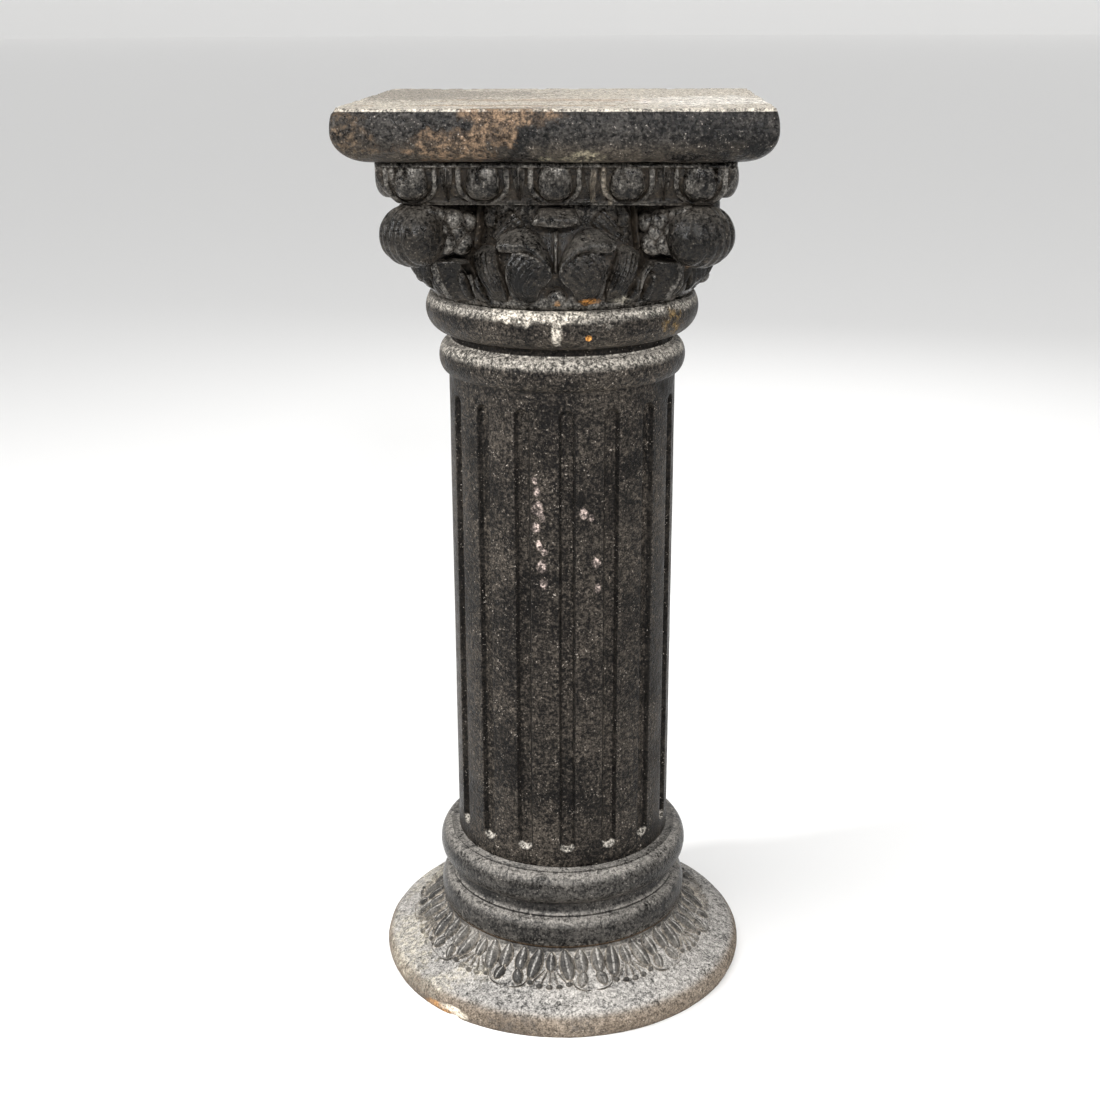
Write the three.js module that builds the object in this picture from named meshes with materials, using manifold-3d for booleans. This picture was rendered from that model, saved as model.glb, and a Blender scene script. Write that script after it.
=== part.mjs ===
// Cast iron pedestal column: five castings stacked on one another.
// Millimetres, +Z up, origin on the ground at the column's axis, the slab's front edge facing -Y.

import * as THREE from 'three';
import { mergeVertices } from 'three/addons/utils/BufferGeometryUtils.js';
import Module from 'manifold-3d';

const wasm = await Module();
wasm.setup();

// Seams between castings
const JOINT_GAP = 0.3;

// Shaft: the radius that every moulding's projection is measured from, and the fluted stretch
const SHAFT_RADIUS = 90;
const FLUTED_LENGTH = 398;
const FLUTE_COUNT = 16;
const FLUTE_WIDTH = 13.3;
const FLUTE_DEPTH = 3.5;
const FLUTE_EDGE_ROUNDING = 2.2;
const FLUTE_END_MARGIN = 14;
const FLUTE_TURN = 4.7;

// Neck rings, part of the shaft casting
const LOWER_RING_HEIGHT = 25.5;
const LOWER_RING_PROJECTION = 7.5;
const NECK_HEIGHT = 7;
const NECK_INSET = 2;
const UPPER_RING_PROJECTION = 17;
const UPPER_RING_LOWER_HEIGHT = 18.7;
const UPPER_RING_UPPER_HEIGHT = 11.7;
const UPPER_RING_TOP_INSET = 3.5;

// Foot, from the ground up
const FOOT_EDGE_HEIGHT = 22;
const FOOT_EDGE_WIDTH = 10;
const FOOT_GROUND_INSET = 3;
const FOOT_SLOPE_HEIGHT = 9.5;
const FOOT_SLOPE_WIDTH = 18.5;
const BAND_HEIGHT = 15;
const BAND_WIDTH = 21;
const BAND_REPEATS = 11;
const BAND_RELIEF = 3.2;
const BAND_TURN = -2.7;
const COLLAR_HEIGHT = 5.5;
const COLLAR_FLARE = 2.5;
const BAND_LIP_WIDTH = 1;
const BAND_LIP_HEIGHT = 0.5;
const FOOT_BULGE = 1.5;
const FOOT_BULGE_HEIGHT = 7.5;
const FOOT_SHOULDER_DROP = 5.5;

// Base mouldings, from the foot up
const BASE_JOINT_PROJECTION = 14;
const LOWER_TORUS_BULGE = 2;
const LOWER_TORUS_SKIRT_HEIGHT = 10;
const LOWER_TORUS_CROWN_HEIGHT = 14.5;
const LOWER_TORUS_CROWN_WIDTH = 8;
const SCOTIA_FILLET_HEIGHT = 2;
const SCOTIA_FILLET_INSET = 1;
const SCOTIA_HEIGHT = 12.2;
const SCOTIA_DEPTH = 3;
const UPPER_TORUS_HEIGHT = 27;
const UPPER_TORUS_BULGE = 9.2;
const TOP_FILLET_HEIGHT = 1.5;
const TOP_FILLET_PROJECTION = 6.5;

// Capital, from the neck up
const BELL_HEIGHT = 76;
const BELL_FOOT_PROJECTION = 12;
const BELL_SWELL = 7;
const BELL_NARROWING = 1.35;
const PLATE_HEIGHT = 2.5;
const PLATE_INSET = 2;
const OVOLO_HEIGHT = 26;
const OVOLO_PROJECTION = 14;
const OVOLO_FOOT_HALF_SIDE = 113;
const OVOLO_CORNER_RADIUS = 12;
const OVOLO_FILLET_HEIGHT = 2.3;
const OVOLO_ROUNDING = 1.1;

// Eggs and darts on the ovolo
const EGGS_PER_SIDE = 5;
const EGG_PITCH = 50.5;
const EGG_WIDTH = 26;
const EGG_HEIGHT = 30;
const EGG_DEPTH = 12;
const EGG_PROJECTION = 2;
const EGG_FOOT_CLEARANCE = 2;
const DART_WIDTH = 10;
const DART_PROJECTION = 3;

// Corner volutes under the ovolo
const VOLUTE_RADIUS = 23;
const VOLUTE_WIDTH = 48;
const VOLUTE_REACH = 147;
const VOLUTE_DROP = 22;
const VOLUTE_FULLNESS = 0.66;
const STEM_WIDTH = 36;
const STEM_DROP = 16;

// Leaves and buds on the bell
const LEAF_ROOT_DEPTH = 1;
const BUD_RADIUS = 6.5;
const BUD_RISE = 10.6;
const BUD_PROJECTION = 2;
const FLEURON_CLEARANCE = 1;
const CORNER_LEAF_LAP = 2;

// Top slab
const SLAB_THICKNESS = 37.5;
const SLAB_NOSE_OVERHANG = 25.5;
const SLAB_NOSE_HEIGHT = 21.5;
const SLAB_ARRIS_INSET = 3.2;
const SLAB_CORNER_RADIUS = 6;

// Heights that follow from the sizes above
const FOOT_HEIGHT = FOOT_EDGE_HEIGHT + FOOT_SLOPE_HEIGHT + BAND_HEIGHT + COLLAR_HEIGHT;
const BASE_BOTTOM = FOOT_HEIGHT + JOINT_GAP;
const BASE_TOP = BASE_BOTTOM + LOWER_TORUS_SKIRT_HEIGHT + LOWER_TORUS_CROWN_HEIGHT
  + SCOTIA_FILLET_HEIGHT + SCOTIA_HEIGHT + UPPER_TORUS_HEIGHT + TOP_FILLET_HEIGHT;
const SHAFT_BOTTOM = BASE_TOP + JOINT_GAP;
const FLUTED_TOP = SHAFT_BOTTOM + FLUTED_LENGTH;
const NECK_BOTTOM = FLUTED_TOP + LOWER_RING_HEIGHT;
const UPPER_RING_BOTTOM = NECK_BOTTOM + NECK_HEIGHT;
const SHAFT_TOP = UPPER_RING_BOTTOM + UPPER_RING_LOWER_HEIGHT + UPPER_RING_UPPER_HEIGHT;
const CAPITAL_BOTTOM = SHAFT_TOP + JOINT_GAP;
const BELL_TOP = CAPITAL_BOTTOM + BELL_HEIGHT;
const OVOLO_BOTTOM = BELL_TOP + PLATE_HEIGHT;
const OVOLO_TOP = OVOLO_BOTTOM + OVOLO_HEIGHT;
const CAPITAL_TOP = OVOLO_TOP + OVOLO_FILLET_HEIGHT;
const SLAB_BOTTOM = CAPITAL_TOP + JOINT_GAP;

// Radii and half sides that follow from the sizes above
const COLLAR_RADIUS = SHAFT_RADIUS + BASE_JOINT_PROJECTION;
const BAND_INNER_RADIUS = COLLAR_RADIUS + COLLAR_FLARE;
const BAND_OUTER_RADIUS = BAND_INNER_RADIUS + BAND_WIDTH;
const SHOULDER_RADIUS = BAND_OUTER_RADIUS + FOOT_SLOPE_WIDTH;
const FOOT_RADIUS = SHOULDER_RADIUS + FOOT_EDGE_WIDTH;
const BELL_FOOT_RADIUS = SHAFT_RADIUS + BELL_FOOT_PROJECTION;
const OVOLO_TOP_HALF_SIDE = OVOLO_FOOT_HALF_SIDE + OVOLO_PROJECTION;

// Fineness of the faceted surfaces
const ROUND_SEGMENTS = 32;
const COLUMNS_PER_REPEAT = 5;
const CORNER_SEGMENTS = 2;
const VOLUTE_SEGMENTS = 10;
const VOLUTE_ROWS = 8;
const BALL_SEGMENTS = 6;
const BALL_ROWS = 4;
const OVERLAP = 1;

const IRON = { roughness: 0.5, metalness: 0.7 };
const slabIron = new THREE.MeshStandardMaterial({ color: 0x3a3631, ...IRON });
const capitalIron = new THREE.MeshStandardMaterial({ color: 0x23211f, ...IRON });
const shaftIron = new THREE.MeshStandardMaterial({ color: 0x2b2826, ...IRON });
const baseIron = new THREE.MeshStandardMaterial({ color: 0x3b3834, ...IRON });
const footIron = new THREE.MeshStandardMaterial({ color: 0x5d564c, ...IRON });

// Profile curves, as radius and height pairs

// Part of an ellipse about (radius, height), from one angle to another in degrees
function arcPoints(radius, height, across, along, from, to, steps) {
  return Array.from({ length: steps + 1 }, (_, i) => {
    const angle = THREE.MathUtils.degToRad(from + (to - from) * i / steps);
    return new THREE.Vector2(radius + across * Math.cos(angle), height + along * Math.sin(angle));
  });
}

// A sweep that leaves its first radius by a power of the way up
function easedPoints(fromRadius, toRadius, fromHeight, toHeight, power, steps) {
  return Array.from({ length: steps + 1 }, (_, i) => {
    const way = i / steps;
    const radius = fromRadius + (toRadius - fromRadius) * way ** power;
    return new THREE.Vector2(radius, fromHeight + (toHeight - fromHeight) * way);
  });
}

function withoutRepeats(points) {
  return points.filter((point, i) => i === 0 || point.distanceTo(points[i - 1]) > 1e-6);
}

// A solid of revolution whose open profile is closed along the axis
function turned(outline, segments = ROUND_SEGMENTS) {
  const points = withoutRepeats(outline);
  const axisBottom = new THREE.Vector2(0, points[0].y);
  const axisTop = new THREE.Vector2(0, points.at(-1).y);
  const lathe = new THREE.LatheGeometry([axisBottom, ...points, axisTop], segments);
  return lathe.rotateX(Math.PI / 2);
}

// A closed body through rings of equal point counts, with a fan over each end
function lofted(rings) {
  const count = rings[0].length;
  const centre = (ring) => ring.reduce((sum, p) => sum.add(p), new THREE.Vector3()).divideScalar(count);
  const points = [...rings.flat(), centre(rings[0]), centre(rings.at(-1))];
  const index = [];
  for (let row = 0; row < rings.length - 1; row += 1) {
    for (let i = 0; i < count; i += 1) {
      const a = row * count + i;
      const b = row * count + (i + 1) % count;
      index.push(a, b, b + count, a, b + count, a + count);
    }
  }
  const last = (rings.length - 1) * count;
  for (let i = 0; i < count; i += 1) {
    const next = (i + 1) % count;
    index.push(rings.length * count, next, i);
    index.push(rings.length * count + 1, last + i, last + next);
  }
  const geometry = new THREE.BufferGeometry().setFromPoints(points);
  geometry.setIndex(index);
  return geometry;
}

// A level square with rounded corners, counter-clockwise seen from above
function squareRing(halfSide, cornerRadius, height) {
  const points = [];
  for (let corner = 0; corner < 4; corner += 1) {
    for (let i = 0; i <= CORNER_SEGMENTS; i += 1) {
      const angle = Math.PI / 2 * (corner + i / CORNER_SEGMENTS);
      const middle = Math.PI / 4 + Math.PI / 2 * corner;
      const inset = (halfSide - cornerRadius) * Math.SQRT2;
      const x = inset * Math.cos(middle) + cornerRadius * Math.cos(angle);
      const y = inset * Math.sin(middle) + cornerRadius * Math.sin(angle);
      points.push(new THREE.Vector3(x, y, height));
    }
  }
  return points;
}

// Solids for joining and cutting

function solid(geometry) {
  const bare = geometry.clone();
  bare.deleteAttribute('normal');
  bare.deleteAttribute('uv');
  const merged = mergeVertices(bare, 1e-4);
  const vertProperties = new Float32Array(merged.attributes.position.array);
  const triVerts = new Uint32Array(merged.index.array);
  return new wasm.Manifold(new wasm.Mesh({ numProp: 3, vertProperties, triVerts }));
}

function geometryOf(body) {
  const mesh = body.getMesh();
  const geometry = new THREE.BufferGeometry();
  geometry.setAttribute('position', new THREE.BufferAttribute(new Float32Array(mesh.vertProperties), 3));
  geometry.setIndex(new THREE.BufferAttribute(new Uint32Array(mesh.triVerts), 1));
  geometry.computeVertexNormals();
  return geometry;
}

function joined(geometries) {
  return geometries.map(solid).reduce((body, next) => body.add(next));
}

// Foot

// Height of the leaf band's carving, by the share of one repeat and the share of the way out
function bandRelief(phase, out) {
  const fan = Math.max(0, Math.cos(2 * Math.PI * phase)) * Math.sin(Math.PI * Math.min(1, out * 0.9));
  const cup = Math.exp(-((phase - 0.5) ** 2) / 0.03) * (1 - 0.7 * out);
  return BAND_RELIEF * Math.min(1, fan + cup) * Math.sin(Math.PI * Math.min(1, out + 0.12)) ** 0.5;
}

function footGeometry() {
  const columns = BAND_REPEATS * COLUMNS_PER_REPEAT;
  const shoulder = FOOT_EDGE_HEIGHT;
  const bandFoot = shoulder + FOOT_SLOPE_HEIGHT;
  const bandTop = bandFoot + BAND_HEIGHT;
  const edge = new THREE.CubicBezierCurve(
    new THREE.Vector2(FOOT_RADIUS - FOOT_GROUND_INSET, 0),
    new THREE.Vector2(FOOT_RADIUS + FOOT_BULGE, FOOT_BULGE_HEIGHT),
    new THREE.Vector2(FOOT_RADIUS, shoulder - FOOT_SHOULDER_DROP),
    new THREE.Vector2(SHOULDER_RADIUS, shoulder),
  );
  const plainRows = edge.getPoints(3).map((p) => ({ radius: p.x, height: p.y, out: null }));
  const slope = { radius: BAND_OUTER_RADIUS + BAND_LIP_WIDTH, height: bandFoot - BAND_LIP_HEIGHT, out: null };
  const bandSteps = 3;
  const bandRows = Array.from({ length: bandSteps + 1 }, (_, i) => {
    const out = 1 - i / bandSteps;
    return {
      radius: BAND_INNER_RADIUS + BAND_WIDTH * out,
      height: bandTop - BAND_HEIGHT * out,
      out,
    };
  });
  const collar = { radius: COLLAR_RADIUS, height: FOOT_HEIGHT, out: null };
  const rows = [...plainRows, slope, ...bandRows, collar];
  const slant = Math.hypot(BAND_WIDTH, BAND_HEIGHT);
  const rings = rows.map(({ radius, height, out }) => Array.from({ length: columns }, (_, i) => {
    const turn = i / COLUMNS_PER_REPEAT;
    const relief = out === null ? 0 : bandRelief(turn % 1, out);
    const angle = THREE.MathUtils.degToRad(BAND_TURN - 90 + 360 * turn / BAND_REPEATS);
    const reach = radius + relief * BAND_HEIGHT / slant;
    const rise = height + relief * BAND_WIDTH / slant;
    return new THREE.Vector3(reach * Math.cos(angle), reach * Math.sin(angle), rise);
  }));
  return lofted(rings);
}

// Base mouldings

function baseGeometry() {
  const crownFoot = BASE_BOTTOM + LOWER_TORUS_SKIRT_HEIGHT;
  const crownRadius = COLLAR_RADIUS + LOWER_TORUS_BULGE;
  const crownTop = crownFoot + LOWER_TORUS_CROWN_HEIGHT;
  const crownInner = crownRadius - LOWER_TORUS_CROWN_WIDTH;
  const filletRadius = crownInner - SCOTIA_FILLET_INSET;
  const scotiaBottom = crownTop + SCOTIA_FILLET_HEIGHT;
  const scotiaTop = scotiaBottom + SCOTIA_HEIGHT;
  const torusTop = scotiaTop + UPPER_TORUS_HEIGHT;
  const torusMiddle = scotiaTop + UPPER_TORUS_HEIGHT / 2;
  const scotiaMiddle = scotiaBottom + SCOTIA_HEIGHT / 2;
  const topFilletRadius = SHAFT_RADIUS + TOP_FILLET_PROJECTION;
  const crown = arcPoints(crownInner, crownFoot, LOWER_TORUS_CROWN_WIDTH, LOWER_TORUS_CROWN_HEIGHT, 0, 90, 3);
  const scotia = arcPoints(filletRadius, scotiaMiddle, SCOTIA_DEPTH, SCOTIA_HEIGHT / 2, 270, 90, 3);
  const torus = arcPoints(filletRadius, torusMiddle, UPPER_TORUS_BULGE, UPPER_TORUS_HEIGHT / 2, -90, 90, 5);
  return turned([
    new THREE.Vector2(COLLAR_RADIUS, BASE_BOTTOM),
    ...crown,
    new THREE.Vector2(filletRadius, crownTop),
    ...scotia,
    ...torus,
    new THREE.Vector2(topFilletRadius, torusTop),
    new THREE.Vector2(topFilletRadius, torusTop + TOP_FILLET_HEIGHT),
  ]);
}

// Shaft

function shaftOutline() {
  const ringMiddle = FLUTED_TOP + LOWER_RING_HEIGHT / 2;
  const neckRadius = SHAFT_RADIUS - NECK_INSET;
  const widest = UPPER_RING_BOTTOM + UPPER_RING_LOWER_HEIGHT;
  const ringRadius = SHAFT_RADIUS + UPPER_RING_PROJECTION;
  return [
    new THREE.Vector2(SHAFT_RADIUS, SHAFT_BOTTOM),
    ...arcPoints(SHAFT_RADIUS, ringMiddle, LOWER_RING_PROJECTION, LOWER_RING_HEIGHT / 2, -90, 90, 5),
    new THREE.Vector2(neckRadius, NECK_BOTTOM),
    new THREE.Vector2(neckRadius, UPPER_RING_BOTTOM),
    ...arcPoints(SHAFT_RADIUS, widest, UPPER_RING_PROJECTION, UPPER_RING_LOWER_HEIGHT, -90, 0, 4),
    ...easedPoints(ringRadius, ringRadius - UPPER_RING_TOP_INSET, widest, SHAFT_TOP, 2, 2),
  ];
}

// The room that one flute takes: a flat-bottomed channel with round ends, sunk from the front
function fluteGeometry() {
  const halfWidth = FLUTE_WIDTH / 2 - FLUTE_EDGE_ROUNDING;
  const halfLength = FLUTED_LENGTH / 2 - FLUTE_END_MARGIN - FLUTE_WIDTH / 2;
  const outline = new THREE.Shape();
  outline.absarc(0, halfLength, halfWidth, 0, Math.PI, false);
  outline.absarc(0, -halfLength, halfWidth, Math.PI, 2 * Math.PI, false);
  const channel = new THREE.ExtrudeGeometry(outline, {
    depth: 2 * FLUTE_DEPTH,
    curveSegments: 2,
    bevelSize: FLUTE_EDGE_ROUNDING,
    bevelThickness: FLUTE_EDGE_ROUNDING,
    bevelSegments: 1,
  });
  channel.rotateX(Math.PI / 2);
  const floor = SHAFT_RADIUS - FLUTE_DEPTH + FLUTE_EDGE_ROUNDING;
  return channel.translate(0, -floor, SHAFT_BOTTOM + FLUTED_LENGTH / 2);
}

function shaftGeometry() {
  const facets = 2 * FLUTE_COUNT;
  const facetTurn = THREE.MathUtils.degToRad(FLUTE_TURN - 90) + Math.PI / facets;
  let body = solid(turned(shaftOutline(), facets).rotateZ(facetTurn));
  const channel = fluteGeometry();
  for (let i = 0; i < FLUTE_COUNT; i += 1) {
    const turn = THREE.MathUtils.degToRad(FLUTE_TURN + 360 * i / FLUTE_COUNT);
    body = body.subtract(solid(channel.clone().rotateZ(turn)));
  }
  return geometryOf(body);
}

// Capital

// Bell radius by the share of its height: swelling low down, drawn in under the plate
function bellRadius(share) {
  const swell = Math.sin(Math.PI * Math.min(1, share * BELL_NARROWING)) * BELL_SWELL;
  return BELL_FOOT_RADIUS + swell;
}

function bellGeometry() {
  const steps = 4;
  return turned(Array.from({ length: steps + 1 }, (_, i) => {
    const share = i / steps;
    return new THREE.Vector2(bellRadius(share), CAPITAL_BOTTOM + (BELL_HEIGHT + OVERLAP) * share);
  }));
}

// Half side of the ovolo by the share of its height
function ovoloHalfSide(share) {
  const turn = Math.PI / 2 * Math.min(1, share * OVOLO_ROUNDING);
  return OVOLO_FOOT_HALF_SIDE + OVOLO_PROJECTION * Math.sin(turn);
}

function ovoloGeometry() {
  const plateHalfSide = OVOLO_FOOT_HALF_SIDE - PLATE_INSET;
  const steps = 2;
  const curve = Array.from({ length: steps + 1 }, (_, i) => {
    const height = OVOLO_BOTTOM + OVOLO_HEIGHT * i / steps;
    return squareRing(ovoloHalfSide(i / steps), OVOLO_CORNER_RADIUS, height);
  });
  return lofted([
    squareRing(plateHalfSide, OVOLO_CORNER_RADIUS, BELL_TOP),
    squareRing(plateHalfSide, OVOLO_CORNER_RADIUS, OVOLO_BOTTOM),
    ...curve,
    squareRing(OVOLO_TOP_HALF_SIDE, OVOLO_CORNER_RADIUS, CAPITAL_TOP),
  ]);
}

// One egg: an oval that the fillet above cuts off
function eggGeometry() {
  const egg = new THREE.SphereGeometry(1, BALL_SEGMENTS, BALL_ROWS).rotateX(Math.PI / 2);
  egg.scale(EGG_WIDTH / 2, EGG_DEPTH, EGG_HEIGHT / 2);
  const middle = OVOLO_TOP_HALF_SIDE + EGG_PROJECTION - EGG_DEPTH;
  return egg.translate(0, -middle, OVOLO_BOTTOM + EGG_FOOT_CLEARANCE + EGG_HEIGHT / 2);
}

// The dart's outline: shares of the ovolo's height and of the dart's width
const DART_OUTLINE = [[0.06, 0.12], [0.5, 0.8], [1, 1]];

// One dart: two facets that meet in a ridge and narrow to a point below
function dartGeometry() {
  return lofted(DART_OUTLINE.map(([share, widthShare]) => {
    const height = OVOLO_BOTTOM + OVOLO_HEIGHT * share;
    const face = ovoloHalfSide(share);
    const half = DART_WIDTH / 2 * widthShare;
    return [
      new THREE.Vector3(-half, -face + OVERLAP, height),
      new THREE.Vector3(0, -face - DART_PROJECTION, height),
      new THREE.Vector3(half, -face + OVERLAP, height),
      new THREE.Vector3(0, -face + DART_PROJECTION + OVERLAP, height),
    ];
  }));
}

// A leaf on the bell. Its middle line runs through three places, each an angle from the front,
// a share of the bell's height and how far it stands out from the bell; its ends are round.
function leafGeometry({ line, halfWidth, thickness, groove }) {
  const curve = new THREE.QuadraticBezierCurve3(...line.map((place) => new THREE.Vector3(...place)));
  const place = (angle, share, out) => {
    const turn = THREE.MathUtils.degToRad(angle - 90);
    const radius = bellRadius(share) + out;
    return new THREE.Vector3(
      radius * Math.cos(turn),
      radius * Math.sin(turn),
      CAPITAL_BOTTOM + BELL_HEIGHT * share,
    );
  };
  const vein = thickness * (1 - groove);
  const crest = groove ? [[-0.6, thickness], [0, vein], [0.6, thickness]] : [[0, thickness]];
  const across = [[-1, -LEAF_ROOT_DEPTH], ...crest, [1, -LEAF_ROOT_DEPTH]];
  const ways = groove ? [0.03, 0.25, 0.65, 0.95] : [0.04, 0.4, 0.95];
  return lofted(ways.map((way) => {
    const here = curve.getPoint(way);
    const run = curve.getTangent(way);
    const sideTurn = BELL_HEIGHT * run.y;
    const sideRise = BELL_FOOT_RADIUS * THREE.MathUtils.degToRad(run.x);
    const length = Math.hypot(sideTurn, sideRise);
    const half = halfWidth * Math.sin(Math.PI * way) ** 0.55;
    const rise = Math.sin(Math.PI * way) ** 0.4;
    const spot = (side, lift) => place(
      here.x + THREE.MathUtils.radToDeg(half * side * sideTurn / length / BELL_FOOT_RADIUS),
      here.y - half * side * sideRise / length / BELL_HEIGHT,
      here.z + lift,
    );
    const root = place(here.x, here.y, -LEAF_ROOT_DEPTH);
    return [...across.map(([side, lift]) => spot(side, lift * rise)), root];
  }));
}

// The leaves of one side, right of its middle line; the left ones mirror them
const SIDE_LEAVES = [
  { line: [[2.5, 0.58, 3], [15.5, 0.44, 5], [5.5, 0.08, 0]], halfWidth: 9, thickness: 5, groove: 0.25 },
  { line: [[27, 0.6, 1], [26, 0.42, 5], [18, 0.08, 0]], halfWidth: 9, thickness: 5, groove: 0.35 },
  { line: [[7, 0.6, 4], [16, 0.66, 13], [25, 0.58, 5]], halfWidth: 6.5, thickness: 4, groove: 0 },
];

// The corner leaf ends just inside the volute above it, and the fleuron just under the plate
const CORNER_LEAF_TOP = 1 - (VOLUTE_DROP + VOLUTE_RADIUS - CORNER_LEAF_LAP) / BELL_HEIGHT;
const CORNER_LEAF = {
  line: [[45, 0.02, 0], [45, CORNER_LEAF_TOP / 2, 12], [45, CORNER_LEAF_TOP, 18]],
  halfWidth: 19,
  thickness: 6,
  groove: 0.4,
};
const FLEURON_HALF_WIDTH = 7;
const FLEURON_TOP = 1 - (FLEURON_HALF_WIDTH + FLEURON_CLEARANCE) / BELL_HEIGHT;
const FLEURON = {
  line: [[-9, FLEURON_TOP, 2], [0, FLEURON_TOP, 11], [9, FLEURON_TOP, 2]],
  halfWidth: FLEURON_HALF_WIDTH,
  thickness: 6,
  groove: 0,
};

function mirrored(leaf) {
  return { ...leaf, line: leaf.line.map(([angle, share, out]) => [-angle, share, out]).reverse() };
}

// One corner volute: a fat roll with round ends, lying across the diagonal
function voluteGeometry() {
  const outline = Array.from({ length: VOLUTE_ROWS + 1 }, (_, i) => {
    const turn = Math.PI * (i / VOLUTE_ROWS - 0.5);
    const girth = VOLUTE_RADIUS * Math.max(0, Math.cos(turn)) ** VOLUTE_FULLNESS;
    return new THREE.Vector2(i % VOLUTE_ROWS ? girth : 0, VOLUTE_WIDTH / 2 * Math.sin(turn));
  });
  const roll = new THREE.LatheGeometry(outline, VOLUTE_SEGMENTS).rotateZ(Math.PI / 2);
  return roll.translate(0, -VOLUTE_REACH, BELL_TOP - VOLUTE_DROP);
}

// The stem between the bell and a volute, up to the plate
function stemGeometry() {
  const volutePlace = BELL_TOP - VOLUTE_DROP;
  const root = BELL_FOOT_RADIUS - BELL_SWELL;
  const outline = new THREE.Shape([
    new THREE.Vector2(root, volutePlace - STEM_DROP),
    new THREE.Vector2(VOLUTE_REACH, volutePlace),
    new THREE.Vector2(VOLUTE_REACH, BELL_TOP + OVERLAP),
    new THREE.Vector2(root, BELL_TOP + OVERLAP),
  ]);
  const stem = new THREE.ExtrudeGeometry(outline, { depth: STEM_WIDTH, bevelEnabled: false });
  stem.translate(0, 0, -STEM_WIDTH / 2);
  return stem.rotateX(Math.PI / 2).rotateZ(-Math.PI / 2);
}

function budGeometry() {
  const bud = new THREE.SphereGeometry(BUD_RADIUS, BALL_SEGMENTS, BALL_ROWS).rotateX(Math.PI / 2);
  return bud.translate(0, -bellRadius(BUD_RISE / BELL_HEIGHT) - BUD_PROJECTION, CAPITAL_BOTTOM + BUD_RISE);
}

// Everything that stands on one side of the capital and at the corner to its right
function sideGeometries() {
  const leaves = SIDE_LEAVES.flatMap((leaf) => [leaf, mirrored(leaf)]).map(leafGeometry);
  const eggRow = Array.from({ length: EGGS_PER_SIDE }, (_, i) => {
    return eggGeometry().translate((i - (EGGS_PER_SIDE - 1) / 2) * EGG_PITCH, 0, 0);
  });
  const dartRow = Array.from({ length: EGGS_PER_SIDE - 1 }, (_, i) => {
    return dartGeometry().translate((i - (EGGS_PER_SIDE - 2) / 2) * EGG_PITCH, 0, 0);
  });
  const corner = [stemGeometry(), voluteGeometry()].map((shape) => shape.rotateZ(Math.PI / 4));
  const cornerLeaf = leafGeometry(CORNER_LEAF);
  return [...corner, cornerLeaf, ...leaves, leafGeometry(FLEURON), budGeometry(), ...eggRow, ...dartRow];
}

// What stands above the ovolo, cut away so that eggs and darts end under the slab's fillet
function overheadGeometry() {
  const room = OVOLO_TOP_HALF_SIDE + EGG_WIDTH;
  return lofted([
    squareRing(room, OVOLO_CORNER_RADIUS, OVOLO_TOP),
    squareRing(room, OVOLO_CORNER_RADIUS, CAPITAL_TOP + EGG_WIDTH),
  ]);
}

function capitalGeometry() {
  let body = joined([bellGeometry(), ovoloGeometry()]);
  for (let side = 0; side < 4; side += 1) {
    const turn = Math.PI / 2 * side;
    const pieces = joined(sideGeometries().map((shape) => shape.rotateZ(turn)));
    body = body.add(pieces.subtract(solid(overheadGeometry())));
  }
  return geometryOf(body);
}

// Top slab

function slabGeometry() {
  const widest = OVOLO_TOP_HALF_SIDE + SLAB_NOSE_OVERHANG;
  const noseHeight = SLAB_BOTTOM + SLAB_NOSE_HEIGHT;
  const top = SLAB_BOTTOM + SLAB_THICKNESS;
  const under = arcPoints(OVOLO_TOP_HALF_SIDE, noseHeight, SLAB_NOSE_OVERHANG, SLAB_NOSE_HEIGHT, -90, 0, 5);
  const arris = easedPoints(widest, widest - SLAB_ARRIS_INSET, noseHeight, top, 2.5, 3);
  return lofted(withoutRepeats([...under, ...arris]).map((point) => {
    return squareRing(point.x, SLAB_CORNER_RADIUS, point.y);
  }));
}

const column = new THREE.Group();

function addPiece(name, geometry, material) {
  geometry.computeVertexNormals();
  const mesh = new THREE.Mesh(geometry, material);
  mesh.name = name;
  column.add(mesh);
}

addPiece('foot', footGeometry(), footIron);
addPiece('base_mouldings', baseGeometry(), baseIron);
addPiece('shaft', shaftGeometry(), shaftIron);
addPiece('capital', capitalGeometry(), capitalIron);
addPiece('top_slab', slabGeometry(), slabIron);

export default column;
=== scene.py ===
"""Cast iron pedestal column, dressed over its five packed castings.

Metres, +Z up, the column's axis on Z and the slab's front edge facing -Y.
"""

import logging
import math
from dataclasses import dataclass, field
from enum import Enum
from typing import Callable, Optional, Sequence, Union

import bmesh
import bpy
import numpy as np
from mathutils import Matrix, Vector, noise
from mathutils.bvhtree import BVHTree

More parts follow.
